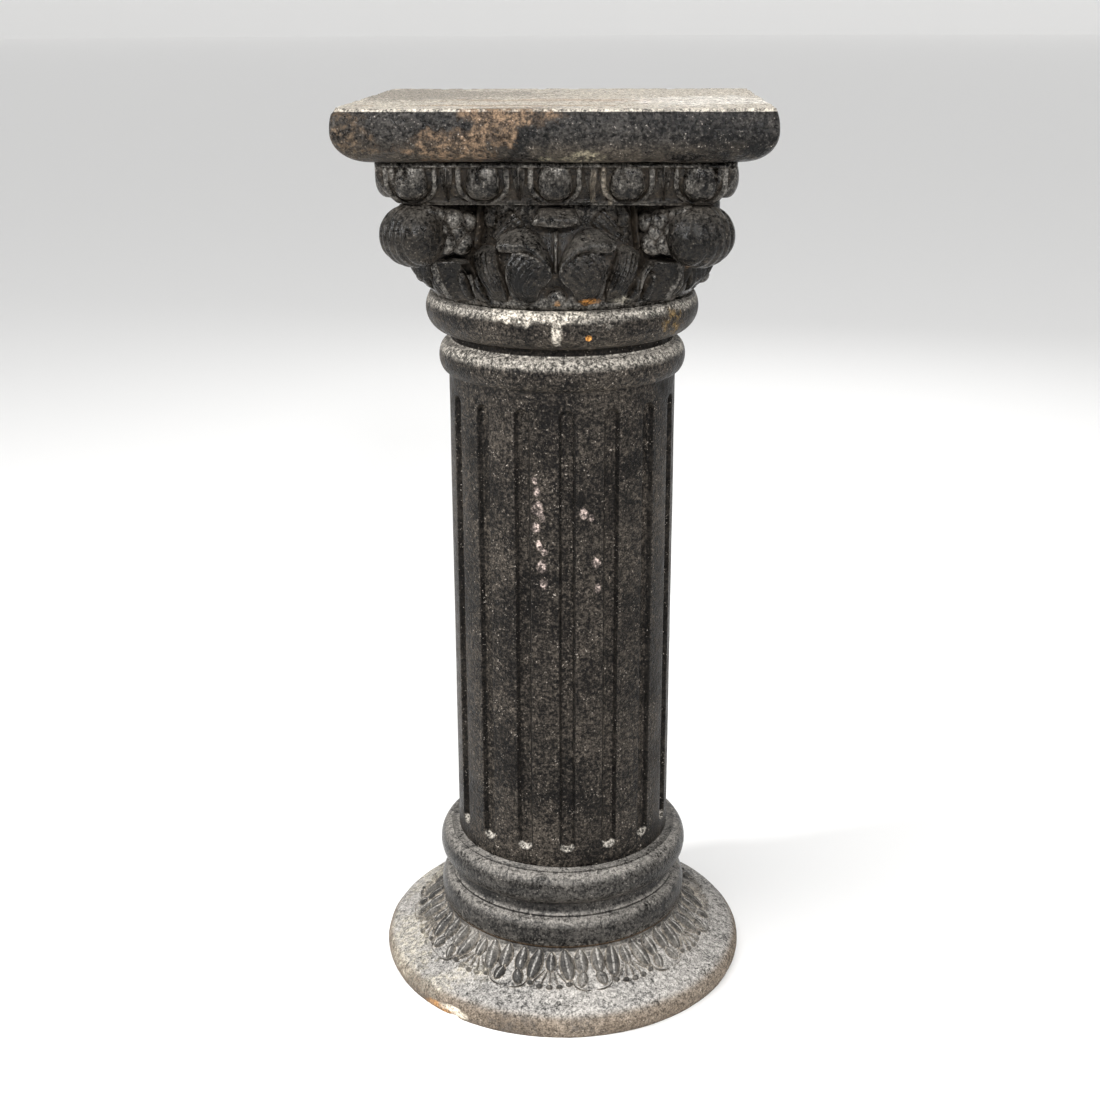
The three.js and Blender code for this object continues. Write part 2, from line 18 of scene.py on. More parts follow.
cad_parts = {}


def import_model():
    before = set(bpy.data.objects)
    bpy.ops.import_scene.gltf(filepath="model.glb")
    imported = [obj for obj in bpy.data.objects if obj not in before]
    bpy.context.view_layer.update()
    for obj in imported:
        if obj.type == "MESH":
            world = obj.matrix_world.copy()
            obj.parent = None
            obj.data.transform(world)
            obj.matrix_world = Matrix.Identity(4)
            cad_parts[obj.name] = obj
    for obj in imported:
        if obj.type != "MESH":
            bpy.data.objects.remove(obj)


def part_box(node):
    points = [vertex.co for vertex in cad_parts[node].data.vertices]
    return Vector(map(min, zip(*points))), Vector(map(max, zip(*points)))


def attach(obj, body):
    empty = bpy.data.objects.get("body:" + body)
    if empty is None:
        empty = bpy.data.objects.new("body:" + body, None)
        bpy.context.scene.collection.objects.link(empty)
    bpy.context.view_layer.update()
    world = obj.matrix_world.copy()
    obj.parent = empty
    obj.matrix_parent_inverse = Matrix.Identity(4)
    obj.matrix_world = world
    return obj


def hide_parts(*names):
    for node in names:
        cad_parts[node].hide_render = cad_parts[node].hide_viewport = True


LOG = logging.getLogger("column")
Array = np.ndarray
Number = Union[int, float]

# Wear patterns, in waves per metre, and how softly rubbed crests begin
BROAD_PER_METRE = 14.0
MIDDLING_PER_METRE = 75.0
BLOTCHES_PER_METRE = 210.0
GRAIN_PER_METRE = 360.0
FINE_PER_METRE = 720.0
PITS_PER_METRE = 420.0
CREST_FADE = 0.6

BODY = "root"


class Node(Enum):
    """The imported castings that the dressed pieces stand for."""

    FOOT = "foot"
    BASE = "base_mouldings"
    SHAFT = "shaft"
    CAPITAL = "capital"
    SLAB = "top_slab"


class Slot(Enum):
    """The record's material slots."""

    FOOT = "foot_iron"
    BASE = "base_iron"
    SHAFT = "shaft_iron"
    CAPITAL = "capital_iron"
    SLAB = "slab_iron"


class Mask(Enum):
    """Point attributes that the finishes read."""

    CAVITY = "cavity"
    CREST = "crest"


# Meshes


@dataclass
class Shell:
    """Points and faces gathered for one mesh."""

    points: list[Array] = field(default_factory=list)
    faces: list[tuple[int, ...]] = field(default_factory=list)
    count: int = 0

    def loft(self, grid: Array) -> None:
        """Add a closed body through the grid's rows, with a fan over each end.

        Args:
            grid: rows by columns by 3; each row is a closed ring.
        """
        rows, columns, _ = grid.shape
        first = self.count
        ends = np.stack([grid[0].mean(axis=0), grid[-1].mean(axis=0)])
        self.points.append(np.concatenate([grid.reshape(-1, 3), ends]))
        here = np.arange(rows * columns).reshape(rows, columns) + first
        ahead = np.roll(here, -1, axis=1)
        quads = np.stack([here[:-1], ahead[:-1], ahead[1:], here[1:]], axis=-1).reshape(-1, 4)
        low, high = first + rows * columns, first + rows * columns + 1
        self.faces += [tuple(quad) for quad in quads.tolist()]
        self.faces += [(low, int(b), int(a)) for a, b in zip(here[0], ahead[0])]
        self.faces += [(high, int(a), int(b)) for a, b in zip(here[-1], ahead[-1])]
        self.count += rows * columns + 2

    def object(self, name: str) -> bpy.types.Object:
        """Make the shell a mesh object whose faces point outwards.

        Args:
            name: the object's name.

        Returns:
            The new object, linked to the scene.
        """
        mesh = bpy.data.meshes.new(name)
        mesh.from_pydata(np.concatenate(self.points).tolist(), [], self.faces)
        shape = bmesh.new()
        shape.from_mesh(mesh)
        bmesh.ops.recalc_face_normals(shape, faces=shape.faces)
        shape.to_mesh(mesh)
        shape.free()
        piece = bpy.data.objects.new(name, mesh)
        bpy.context.scene.collection.objects.link(piece)
        return piece


def smooth_step(values: Array) -> Array:
    """Ease a 0 to 1 ramp at both ends, holding it at 0 and 1 outside."""
    held = np.clip(values, 0.0, 1.0)
    return held * held * (3.0 - 2.0 * held)


def arc(radius: float, height: float, across: float, along: float, start: float, end: float,
        steps: int) -> Array:
    """Trace part of an ellipse in the radius and height plane.

    Args:
        radius: radius of the ellipse's middle.
        height: height of the ellipse's middle.
        across: half width.
        along: half height.
        start: first angle in degrees, 0 pointing outwards.
        end: last angle in degrees.
        steps: number of steps.

    Returns:
        Steps + 1 pairs of radius and height.
    """
    angles = np.radians(np.linspace(start, end, steps + 1))
    return np.stack([radius + across * np.cos(angles), height + along * np.sin(angles)], axis=1)


def line(start: tuple[float, float], end: tuple[float, float], steps: int) -> Array:
    """Space points evenly between two radius and height pairs, leaving out the last.

    Args:
        start: first pair.
        end: the pair that the next stretch starts with.
        steps: number of points.

    Returns:
        Steps pairs of radius and height.
    """
    way = np.linspace(0.0, 1.0, steps, endpoint=False)[:, None]
    return np.array(start) * (1 - way) + np.array(end) * way


def turned(profile: Array, columns: int) -> Array:
    """Turn a profile round the axis.

    Args:
        profile: pairs of radius and height, from the bottom up.
        columns: points round each ring.

    Returns:
        A grid of profile rows by columns by 3.
    """
    angles = np.linspace(0.0, 2 * math.pi, columns, endpoint=False)
    ring = np.stack([np.cos(angles), np.sin(angles)], axis=1)
    grid = np.empty((len(profile), columns, 3))
    grid[:, :, :2] = profile[:, None, :1] * ring[None]
    grid[:, :, 2] = profile[:, 1:2]
    return grid


def rounded_square(half: float, corner: float, straight: int, bend: int) -> Array:
    """Trace a level square with rounded corners, counter-clockwise from the right side's foot.

    Args:
        half: half of the side.
        corner: corner radius.
        straight: points on each straight side.
        bend: points round each corner.

    Returns:
        The ring's x and y, 4 * (straight + bend) rows.
    """
    run = half - corner
    along = np.linspace(-run, run, straight, endpoint=False)
    angles = np.linspace(0.0, math.pi / 2, bend, endpoint=False)
    side = np.stack([np.full(straight, half), along], axis=1)
    turn = np.stack([run + corner * np.cos(angles), run + corner * np.sin(angles)], axis=1)
    quarter = np.concatenate([side, turn])
    quarters = []
    for step in range(4):
        cos, sin = round(math.cos(step * math.pi / 2)), round(math.sin(step * math.pi / 2))
        quarters.append(quarter @ np.array([[cos, sin], [-sin, cos]]))
    return np.concatenate(quarters)


def points_of(piece: bpy.types.Object) -> Array:
    """Read a mesh object's points as an array of n by 3."""
    values = np.empty(len(piece.data.vertices) * 3)
    piece.data.vertices.foreach_get("co", values)
    return values.reshape(-1, 3)


def normals_of(piece: bpy.types.Object) -> Array:
    """Read a mesh object's point normals as an array of n by 3."""
    values = np.empty(len(piece.data.vertices) * 3)
    piece.data.vertices.foreach_get("normal", values)
    return values.reshape(-1, 3)


def set_points(piece: bpy.types.Object, points: Array) -> None:
    """Write a mesh object's points from an array of n by 3."""
    piece.data.vertices.foreach_set("co", points.reshape(-1))
    piece.data.update()


def cast_waves(points: Array, wavelength: float, seed: float) -> Array:
    """Sample smooth noise at each point.

    Args:
        points: n by 3.
        wavelength: distance over which the noise changes.
        seed: shift that tells one use from another.

    Returns:
        One value per point, about -1 to 1.
    """
    shift = Vector((seed, 2.3 * seed, -1.7 * seed))
    return np.array([noise.noise(Vector(point) / wavelength + shift) for point in points])


def roughen(piece: bpy.types.Object, depth: float, wavelength: float, seed: float) -> None:
    """Push a piece's points along their normals, as a sand mould leaves them.

    Args:
        piece: the mesh object.
        depth: largest push inwards; nothing is pushed outwards.
        wavelength: distance between dents.
        seed: which pattern.
    """
    points = points_of(piece)
    push = (cast_waves(points, wavelength, seed) - 1.0) / 2.0 * depth
    set_points(piece, points + normals_of(piece) * push[:, None])


def write_mask(piece: bpy.types.Object, mask: Mask, values: Array) -> None:
    """Store one value per point for the finishes to read."""
    attribute = piece.data.attributes.new(mask.value, "FLOAT", "POINT")
    attribute.data.foreach_set("value", np.clip(values, 0.0, 1.0).astype(np.float32))


def spread_directions(count: int) -> Array:
    """Spread directions over the upper half sphere, more of them near its top.

    Args:
        count: number of directions.

    Returns:
        Count unit vectors with +Z as the middle.
    """
    step = np.arange(count) + 0.5
    radius = np.sqrt(step / count) * 0.95
    angle = step * math.pi * (3 - math.sqrt(5))
    return np.stack([radius * np.cos(angle), radius * np.sin(angle), np.sqrt(1 - radius ** 2)], axis=1)


def mark_cavities(piece: bpy.types.Object, reach: float, rays: int) -> None:
    """Store how shut in each point of a piece is.

    Args:
        piece: the mesh object.
        reach: how far the carving around a point is felt.
        rays: directions tried at each point.
    """
    points, normals = points_of(piece), normals_of(piece)
    tree = BVHTree.FromPolygons(points.tolist(), [tuple(face.vertices) for face in piece.data.polygons])
    fan = spread_directions(rays)
    shut = np.zeros(len(points))
    for index, (point, normal) in enumerate(zip(points, normals)):
        side = np.cross(normal, (0.0, 0.0, 1.0) if abs(normal[2]) < 0.9 else (1.0, 0.0, 0.0))
        side /= np.linalg.norm(side) + 1e-12
        over = np.cross(normal, side)
        start = Vector(point + normal * reach * 0.02)
        for aim in fan @ np.stack([side, over, normal]):
            if tree.ray_cast(start, Vector(aim), reach)[0] is not None:
                shut[index] += 1.0
    write_mask(piece, Mask.CAVITY, shut / rays)


def mark_crests(piece: bpy.types.Object, rounds: int, height: float, inside: float = 1.0) -> None:
    """Store how far each point of a piece stands out from its neighbourhood.

    Args:
        piece: the mesh object.
        rounds: how often the neighbourhood is averaged, which sets its size.
        height: standing out by this much counts as a full crest.
        inside: only points closer to the axis than this are marked.
    """
    points, normals = points_of(piece), normals_of(piece)
    edges = np.empty(len(piece.data.edges) * 2, dtype=np.int64)
    piece.data.edges.foreach_get("vertices", edges)
    ends = edges.reshape(-1, 2)
    both = np.concatenate([ends, ends[:, ::-1]])
    weight = np.bincount(both[:, 0], minlength=len(points))
    level = points.copy()
    for _ in range(rounds):
        sums = [np.bincount(both[:, 0], level[both[:, 1], axis], len(points)) for axis in range(3)]
        level = 0.5 * level + 0.5 * np.stack(sums, axis=1) / np.maximum(weight, 1)[:, None]
    stand = np.einsum("ij,ij->i", points - level, normals)
    near = np.hypot(points[:, 0], points[:, 1]) < inside
    write_mask(piece, Mask.CREST, near * stand / height)


def smooth_faces(piece: bpy.types.Object) -> None:
    """Shade a mesh object smooth."""
    piece.data.polygons.foreach_set("use_smooth", np.ones(len(piece.data.polygons), dtype=bool))
    piece.data.update()


def joined(name: str, parts: Sequence[bpy.types.Object]) -> bpy.types.Object:
    """Make one mesh object of several, and remove those.

    Args:
        name: name of the new object.
        parts: mesh objects at the origin.

    Returns:
        The new object.
    """
    whole = bmesh.new()
    for part in parts:
        whole.from_mesh(part.data)
    mesh = bpy.data.meshes.new(name)
    whole.to_mesh(mesh)
    whole.free()
    for part in parts:
        bpy.data.objects.remove(part)
    piece = bpy.data.objects.new(name, mesh)
    bpy.context.scene.collection.objects.link(piece)
    return piece


# Node trees


@dataclass
class Tree:
    """A shader or geometry node tree that nodes are added to."""

    tree: bpy.types.NodeTree

    def node(self, kind: str, settings: Optional[dict] = None, **sockets: object) -> bpy.types.Node:
        """Add a node.

        Args:
            kind: the node's type.
            settings: the node's own properties, set before its sockets.
            sockets: values or links by socket name, spaces as underscores, or by s and a number.

        Returns:
            The node.
        """
        made = self.tree.nodes.new(kind)
        for name, value in (settings or {}).items():
            setattr(made, name, value)
        for name, value in sockets.items():
            socket = made.inputs[int(name[1:])] if name[1:].isdigit() else made.inputs[name.replace("_", " ")]
            self.feed(socket, value)
        return made

    def feed(self, socket: bpy.types.NodeSocket, value: object) -> None:
        """Set a socket to a value, or link it to a field or a socket."""
        if isinstance(value, Field):
            self.tree.links.new(value.socket, socket)
        elif isinstance(value, bpy.types.NodeSocket):
            self.tree.links.new(value, socket)
        else:
            socket.default_value = value

    def field(self, kind: str, output: Union[int, str] = 0, settings: Optional[dict] = None,
            **sockets: object) -> "Field":
        """Add a node and take one of its outputs as a field."""
        return Field(self, self.node(kind, settings, **sockets).outputs[output])


@dataclass
class Field:
    """One value in a node tree, which Python's operators combine by Math nodes."""

    owner: Tree
    socket: bpy.types.NodeSocket

    def math(self, operation: str, *values: Union["Field", Number]) -> "Field":
        """Add a Math node on this value and others."""
        made = self.owner.node("ShaderNodeMath", {"operation": operation})
        for socket, value in zip(made.inputs, (self, *values)):
            self.owner.feed(socket, value)
        return Field(self.owner, made.outputs[0])

    def flipped(self, operation: str, value: Number) -> "Field":
        """Add a Math node with a number before this value."""
        made = self.owner.node("ShaderNodeMath", {"operation": operation}, s0=value, s1=self)
        return Field(self.owner, made.outputs[0])

    def __add__(self, other: Union["Field", Number]) -> "Field":
        """Sum."""
        return self.math("ADD", other)

    def __radd__(self, other: Number) -> "Field":
        """Sum with a number first."""
        return self.math("ADD", other)

    def __sub__(self, other: Union["Field", Number]) -> "Field":
        """Difference."""
        return self.math("SUBTRACT", other)

    def __rsub__(self, other: Number) -> "Field":
        """Difference from a number."""
        return self.flipped("SUBTRACT", other)

    def __mul__(self, other: Union["Field", Number]) -> "Field":
        """Product."""
        return self.math("MULTIPLY", other)

    def __rmul__(self, other: Number) -> "Field":
        """Product with a number first."""
        return self.math("MULTIPLY", other)

    def __truediv__(self, other: Union["Field", Number]) -> "Field":
        """Quotient."""
        return self.math("DIVIDE", other)

    def __rtruediv__(self, other: Number) -> "Field":
        """Quotient of a number."""
        return self.flipped("DIVIDE", other)

    def __pow__(self, other: Union["Field", Number]) -> "Field":
        """Power."""
        return self.math("POWER", other)

    def ramp(self, start: float, end: float) -> "Field":
        """Ease from 0 at start to 1 at end.

        Args:
            start: value that becomes 0.
            end: value that becomes 1; it may be the lower one.

        Returns:
            The eased value, held at 0 and 1 outside.
        """
        made = self.owner.node(
            "ShaderNodeMapRange",
            {"interpolation_type": "SMOOTHSTEP"},
            Value=self, From_Min=start, From_Max=end,
        )
        return Field(self.owner, made.outputs["Result"])


# Repeats by Geometry Nodes


def group_input(tree: bpy.types.NodeTree, name: str, kind: str) -> str:
    """Add a named input to a node group and give its identifier."""
    return tree.interface.new_socket(name, in_out="INPUT", socket_type=kind).identifier


def plain_mesh(piece: bpy.types.Object, name: str) -> bpy.types.Object:
    """Turn a modified object into a plain mesh object and remove the first.

    Args:
        piece: the object with its modifiers.
        name: name of the new object.

    Returns:
        The new object, with no modifiers.
    """
    bpy.context.view_layer.update()
    evaluated = piece.evaluated_get(bpy.context.evaluated_depsgraph_get())
    mesh = bpy.data.meshes.new_from_object(evaluated)
    mesh.name = name
    result = bpy.data.objects.new(name, mesh)
    bpy.context.scene.collection.objects.link(result)
    piece.modifiers.clear()
    bpy.data.objects.remove(piece)
    return result


@dataclass
class Repeat:
    """Copies of a motif, along a row or round the axis, made by a Geometry Nodes tree."""

    name: str
    count: int
    pitch: float = 0.0
    first_turn: float = 0.0
    step_turn: float = 0.0

    def tree(self) -> tuple[bpy.types.NodeTree, dict[str, str]]:
        """Build the node group.

        Returns:
            The group, and the identifiers of its inputs by name.
        """
        group = bpy.data.node_groups.new(self.name, "GeometryNodeTree")
        kinds = {
            "Motif": "NodeSocketObject", "Count": "NodeSocketInt", "Pitch": "NodeSocketFloat",
            "First turn": "NodeSocketFloat", "Step turn": "NodeSocketFloat", "Finish": "NodeSocketMaterial",
        }
        names = {name: group_input(group, name, kind) for name, kind in kinds.items()}
        group.interface.new_socket("Geometry", in_out="OUTPUT", socket_type="NodeSocketGeometry")
        make = Tree(group)
        given = make.node("NodeGroupInput").outputs
        index = make.field("GeometryNodeInputIndex")
        middle = (Field(make, given["Count"]) - 1.0) * 0.5
        place = make.node("ShaderNodeCombineXYZ", None, X=(index - middle) * Field(make, given["Pitch"]))
        turn = Field(make, given["First turn"]) + index * Field(make, given["Step turn"])
        angles = make.node("ShaderNodeCombineXYZ", None, Z=turn)
        spots = make.node("GeometryNodeMeshLine", {"mode": "OFFSET"}, Count=given["Count"], Offset=(0, 0, 0))
        placed = make.node("GeometryNodeSetPosition", None, Geometry=spots.outputs[0],
            Position=place.outputs[0])
        motif = make.node("GeometryNodeObjectInfo", {"transform_space": "ORIGINAL"}, Object=given["Motif"])
        copies = make.node(
            "GeometryNodeInstanceOnPoints", None,
            Points=placed.outputs[0], Instance=motif.outputs["Geometry"], Rotation=angles.outputs[0],
        )
        real = make.node("GeometryNodeRealizeInstances", None, Geometry=copies.outputs[0])
        dressed = make.node("GeometryNodeSetMaterial", None, Geometry=real.outputs[0],
            Material=given["Finish"])
        make.node("NodeGroupOutput", None, Geometry=dressed.outputs[0])
        return group, names

    def of(self, motif: bpy.types.Object, finish: bpy.types.Material) -> bpy.types.Object:
        """Repeat a motif and turn the result into a plain mesh.

        Args:
            motif: the mesh object that is repeated; it is removed afterwards.
            finish: material of the copies.

        Returns:
            The copies as one mesh object.
        """
        group, names = self.tree()
        holder = bpy.data.objects.new(self.name + "_holder", bpy.data.meshes.new(self.name + "_holder"))
        bpy.context.scene.collection.objects.link(holder)
        modifier = holder.modifiers.new("repeat", "NODES")
        modifier.node_group = group
        values = {
            "Motif": motif, "Count": self.count, "Pitch": self.pitch,
            "First turn": self.first_turn, "Step turn": self.step_turn, "Finish": finish,
        }
        for name, value in values.items():
            modifier[names[name]] = value
        result = plain_mesh(holder, self.name)
        bpy.data.objects.remove(motif)
        return result


def round_axis(name: str, count: int, first_turn: float) -> Repeat:
    """Plan copies that stand evenly round the column's axis."""
    return Repeat(name, count, first_turn=first_turn, step_turn=2 * math.pi / count)


# Finishes


Colour = tuple[float, float, float]
SMALL_PATCH = 0.012


@dataclass(frozen=True)
class Patch:
    """A worn or stained place on the surface: where, how large, its colour and its raggedness."""

    place: tuple[float, float, float]
    size: tuple[float, float, float]
    colour: Colour
    strength: float = 1.0
    ragged: float = 0.8
    broken: float = 0.5


@dataclass(frozen=True)
class Tide:
    """A band of colour between two heights, broken up by its raggedness: a stain, and on the slab's upper
    arris a painted highlight.
    """

    low: float
    high: float
    colour: Colour
    strength: float = 0.7
    fade: float = 0.003
    ragged: float = 0.6


@dataclass(frozen=True)
class WornPaint:
    """Black paint on cast iron, worn, with dust and painted shade in the hollows, and shiny on the high
    places.
    """

    name: str
    dark: Colour = (0.0045, 0.0040, 0.0036)
    light: Colour = (0.020, 0.017, 0.014)
    fleck: Colour = (0.30, 0.27, 0.24)
    crest_wear: Colour = (0.060, 0.055, 0.050)
    # colour of the hollows: dust on some castings, painted shade on others
    cavity_dust_and_shade: Colour = (0.075, 0.055, 0.036)
    settled_dust: Colour = (0.20, 0.185, 0.165)
    under_dust: Colour = (0.060, 0.050, 0.038)
    crest_amount: float = 0.3
    bare_metal: float = 0.0
    crest_from: float = 0.15
    cavity_amount: float = 0.6
    settled_amount: float = 0.3
    settled_from: float = 0.25
    settled_full: float = 0.95
    swept: float = 0.6
    under_amount: float = 0.3
    fleck_amount: float = 0.5
    speckle: float = 0.5
    mottle: float = 0.2
    shine: float = 0.34
    gloss: float = 0.28
    dull: float = 0.60
    grain_depth: float = 0.00035
    patches: tuple[Patch, ...] = ()
    tides: tuple[Tide, ...] = ()

    def mixed(self, make: Tree, factor: Field, low: object, high: object) -> bpy.types.NodeSocket:
        """Mix two colours by a factor."""
        node = make.node("ShaderNodeMix", {"data_type": "RGBA"}, s0=factor)
        for socket, colour in ((node.inputs[6], low), (node.inputs[7], high)):
            make.feed(socket, (*colour, 1.0) if isinstance(colour, tuple) else colour)
        return node.outputs[2]

    def waves(self, make: Tree, place: bpy.types.NodeSocket, per_metre: float, detail: float) -> Field:
        """Add a noise of so many waves per metre."""
        return make.field("ShaderNodeTexNoise", 0, None, Vector=place, Scale=per_metre, Detail=detail,
            Roughness=0.62)

    def patch_cover(self, make: Tree, place: bpy.types.NodeSocket, patch: Patch, rough: Field,
            holes: Field) -> Field:
        """Work out where one patch covers the surface.

        Args:
            make: the material's tree.
            place: object coordinates.
            patch: the patch.
            rough: noise that frays the patch's edge.
            holes: finer noise that breaks the patch up.

        Returns:
            Its cover, 0 to 1.
        """
        offset = make.node("ShaderNodeVectorMath", {"operation": "SUBTRACT"}, s0=place, s1=patch.place)
        scaled = make.node("ShaderNodeVectorMath", {"operation": "DIVIDE"}, s0=offset.outputs[0],
            s1=patch.size)
        away = make.field("ShaderNodeVectorMath", "Value", {"operation": "LENGTH"}, s0=scaled.outputs[0])
        edge = away + (rough - 0.5) * (5.0 * patch.ragged)
        kept = 1.0 - holes.ramp(0.62, 0.44) * patch.broken
        return edge.ramp(1.15, 0.75) * kept * patch.strength

    def tide_cover(self, height: Field, tide: Tide, rough: Field) -> Field:
        """Work out where one tide covers the surface, from the height and a noise."""
        band = height.ramp(tide.low - tide.fade, tide.low) * height.ramp(tide.high + tide.fade, tide.high)
        return band * (rough + (0.5 - tide.ragged)).ramp(0.30, 0.62) * tide.strength

    def material(self) -> bpy.types.Material:
        """Build the node material.

        Returns:
            The material.
        """
        made = bpy.data.materials.new(self.name)
        made.use_nodes = True
        made.node_tree.nodes.clear()
        make = Tree(made.node_tree)
        place = make.node("ShaderNodeTexCoord").outputs["Object"]
        cavity = make.field("ShaderNodeAttribute", "Fac", {"attribute_name": Mask.CAVITY.value})
        crest = make.field("ShaderNodeAttribute", "Fac", {"attribute_name": Mask.CREST.value})
        facing = make.node("ShaderNodeSeparateXYZ", None,
            Vector=make.node("ShaderNodeNewGeometry").outputs["Normal"])
        upward = Field(make, facing.outputs["Z"])
        height = Field(make, make.node("ShaderNodeSeparateXYZ", None, Vector=place).outputs["Z"])

        broad = self.waves(make, place, BROAD_PER_METRE, 4.0)
        middling = self.waves(make, place, MIDDLING_PER_METRE, 5.0)
        blotches = self.waves(make, place, BLOTCHES_PER_METRE, 3.0)
        grain = self.waves(make, place, GRAIN_PER_METRE, 3.0)
        fine = self.waves(make, place, FINE_PER_METRE, 2.0)
        cells = {"feature": "F1"}
        pits = make.field("ShaderNodeTexVoronoi", "Distance", cells, Vector=place, Scale=PITS_PER_METRE)

        worn = (broad * (0.45 + self.mottle) + middling * 0.35 + grain * 0.55)
        worn = worn.ramp(0.55 + self.mottle / 2, 0.84 + self.mottle / 2)
        colour = self.mixed(make, worn, self.dark, self.light)
        rubbed = crest.ramp(self.crest_from, self.crest_from + CREST_FADE)
        rubbed = rubbed * (middling * 0.6 + grain * 0.4).ramp(0.40, 0.60) * self.crest_amount
        colour = self.mixed(make, rubbed, colour, self.crest_wear)
        # Hollows take the cavity colour: dust on the foot and the capital, painted shade on the shaft's flute
        # walls and the base's hollows.
        hollow_breakup = (middling * 0.7 + grain * 0.3).ramp(0.35, 0.62)
        hollow = (cavity.ramp(0.12, 0.62) * (hollow_breakup * 0.7 + 0.3)) * self.cavity_amount
        colour = self.mixed(make, hollow, colour, self.cavity_dust_and_shade)
        under = upward.ramp(-0.15, -0.75) * (broad * 0.5 + middling * 0.5).ramp(0.38, 0.60)
        under = under * self.under_amount
        colour = self.mixed(make, under, colour, self.under_dust)
        settled = upward.ramp(self.settled_from, self.settled_full)
        settled = settled * (middling * 0.6 + grain * 0.4 + broad * 0.2).ramp(0.42, 0.62)
        settled = settled * (1.0 - crest.ramp(0.15, 0.7) * self.swept) * self.settled_amount
        colour = self.mixed(make, settled, colour, self.settled_dust)

        stain_and_highlight = None
        fray = broad * 0.35 + middling * 0.45 + grain * 0.2
        fine_fray = middling * 0.4 + blotches * 0.6
        covers = [(self.tide_cover(height, tide, fray), tide.colour) for tide in self.tides]
        for patch in self.patches:
            rough = fine_fray if patch.size[0] < SMALL_PATCH else fray
            covers.append((self.patch_cover(make, place, patch, rough, blotches), patch.colour))
        for cover, tint in covers:
            colour = self.mixed(make, cover, colour, tint)
            stain_and_highlight = cover if stain_and_highlight is None else stain_and_highlight.math("MAXIMUM", cover)
        flecks = (fine + middling * 0.35).ramp(0.86, 0.94) * self.fleck_amount
        colour = self.mixed(make, flecks, colour, self.fleck)
        shade = 1.0 + (blotches * 0.5 + grain * 0.6 + fine * 0.6 - 0.85) * (4.0 * self.speckle)
        speckled = make.node("ShaderNodeVectorMath", {"operation": "SCALE"}, s0=colour)
        make.feed(speckled.inputs["Scale"], shade.math("MAXIMUM", 0.25))

        dullness = (grain * 0.5 + middling * 0.5).ramp(0.35, 0.65) * (self.dull - self.gloss) + self.gloss
        dullness = dullness + (hollow + settled + under) * 0.5 - crest * 0.08
        if stain_and_highlight is not None:
            dullness = dullness + stain_and_highlight * 0.3
        relief = blotches * 0.6 + grain * 0.7 + fine * 0.35 + pits.ramp(0.0, 0.35) * 0.4 + middling * 0.9
        bump = make.node("ShaderNodeBump", None, Strength=1.0, Distance=self.grain_depth, Height=relief)
        shader = make.node(
            "ShaderNodeBsdfPrincipled", None,
            Base_Color=speckled.outputs[0], Roughness=dullness.math("MINIMUM", 0.95).math("MAXIMUM", 0.12),
            Metallic=rubbed * self.bare_metal,
            Normal=bump.outputs[0], Specular_IOR_Level=self.shine,
        )
        make.node("ShaderNodeOutputMaterial", None, Surface=shader.outputs[0])
        return made


# Castings


@dataclass
class Casting:
    """What every casting has: the node it stands for, its slot and its place in the stack."""

    node: Node
    slot: Slot
    finish: WornPaint

    def floor(self) -> float:
        """Give the height of the casting's underside."""
        return float(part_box(self.node.value)[0][2])

    def top(self) -> float:
        """Give the height of the casting's top."""
        return float(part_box(self.node.value)[1][2])

    def dress(self, piece: bpy.types.Object, material: bpy.types.Material) -> None:
        """Give a finished mesh its material and its place in the model.

        Args:
            piece: the mesh object.
            material: its finish.
        """
        piece.data.materials.clear()
        piece.data.materials.append(material)
        smooth_faces(piece)
        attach(piece, BODY)
        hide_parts(self.node.value)
        LOG.info("%s: %d points, %d faces", piece.name, len(piece.data.vertices), len(piece.data.polygons))


@dataclass
class TopSlab(Casting):
    """The square slab with its rounded edge."""

    half_side: float = 0.1525
    neck_half_side: float = 0.127
    nose_height: float = 0.0215
    arris_inset: float = 0.0032
    corner: float = 0.006
    chip_depth: float = 0.0012

    def profile(self) -> Array:
        """Trace half sides and heights from the underside's middle to the top face's middle."""
        floor, top = self.floor(), self.top()
        nose = floor + self.nose_height
        way = np.linspace(0.0, 1.0, 17)[1:]
        side = np.stack([self.half_side - self.arris_inset * way ** 2.5, nose + (top - nose) * way], axis=1)
        edge = self.half_side - self.arris_inset
        return np.concatenate([
            line((0.02, floor), (self.neck_half_side, floor), 6),
            arc(self.neck_half_side, nose, self.half_side - self.neck_half_side, self.nose_height, -90, 0,
                22),
            side,
            line((edge - 0.0008, top), (0.015, top), 26),
        ])

    def build(self) -> None:
        """Build the slab, chip its arris and dress it."""
        rings = []
        for half, height in self.profile():
            ring = rounded_square(half, min(self.corner, half * 0.4), 140, 8)
            rings.append(np.column_stack([ring, np.full(len(ring), height)]))
        shell = Shell()
        shell.loft(np.stack(rings))
        piece = shell.object("top_slab_dressed")
        roughen(piece, 0.0007, 0.03, 3.0)
        self.chip(piece)
        mark_crests(piece, 12, 0.0012)
        write_mask(piece, Mask.CAVITY, np.zeros(len(piece.data.vertices)))
        self.dress(piece, self.finish.material())

    def chip(self, piece: bpy.types.Object) -> None:
        """Nick the arris round the top face where the noise says so."""
        points = points_of(piece)
        near = np.exp(-((points[:, 2] - self.top()) / 0.004) ** 2)
        reach = np.maximum(np.abs(points[:, 0]), np.abs(points[:, 1]))
        near *= smooth_step((reach - self.half_side + 0.012) / 0.008)
        nick = smooth_step((cast_waves(points, 0.009, 8.0) - 0.05) / 0.4)
        set_points(piece, points - normals_of(piece) * (near * nick * self.chip_depth)[:, None])


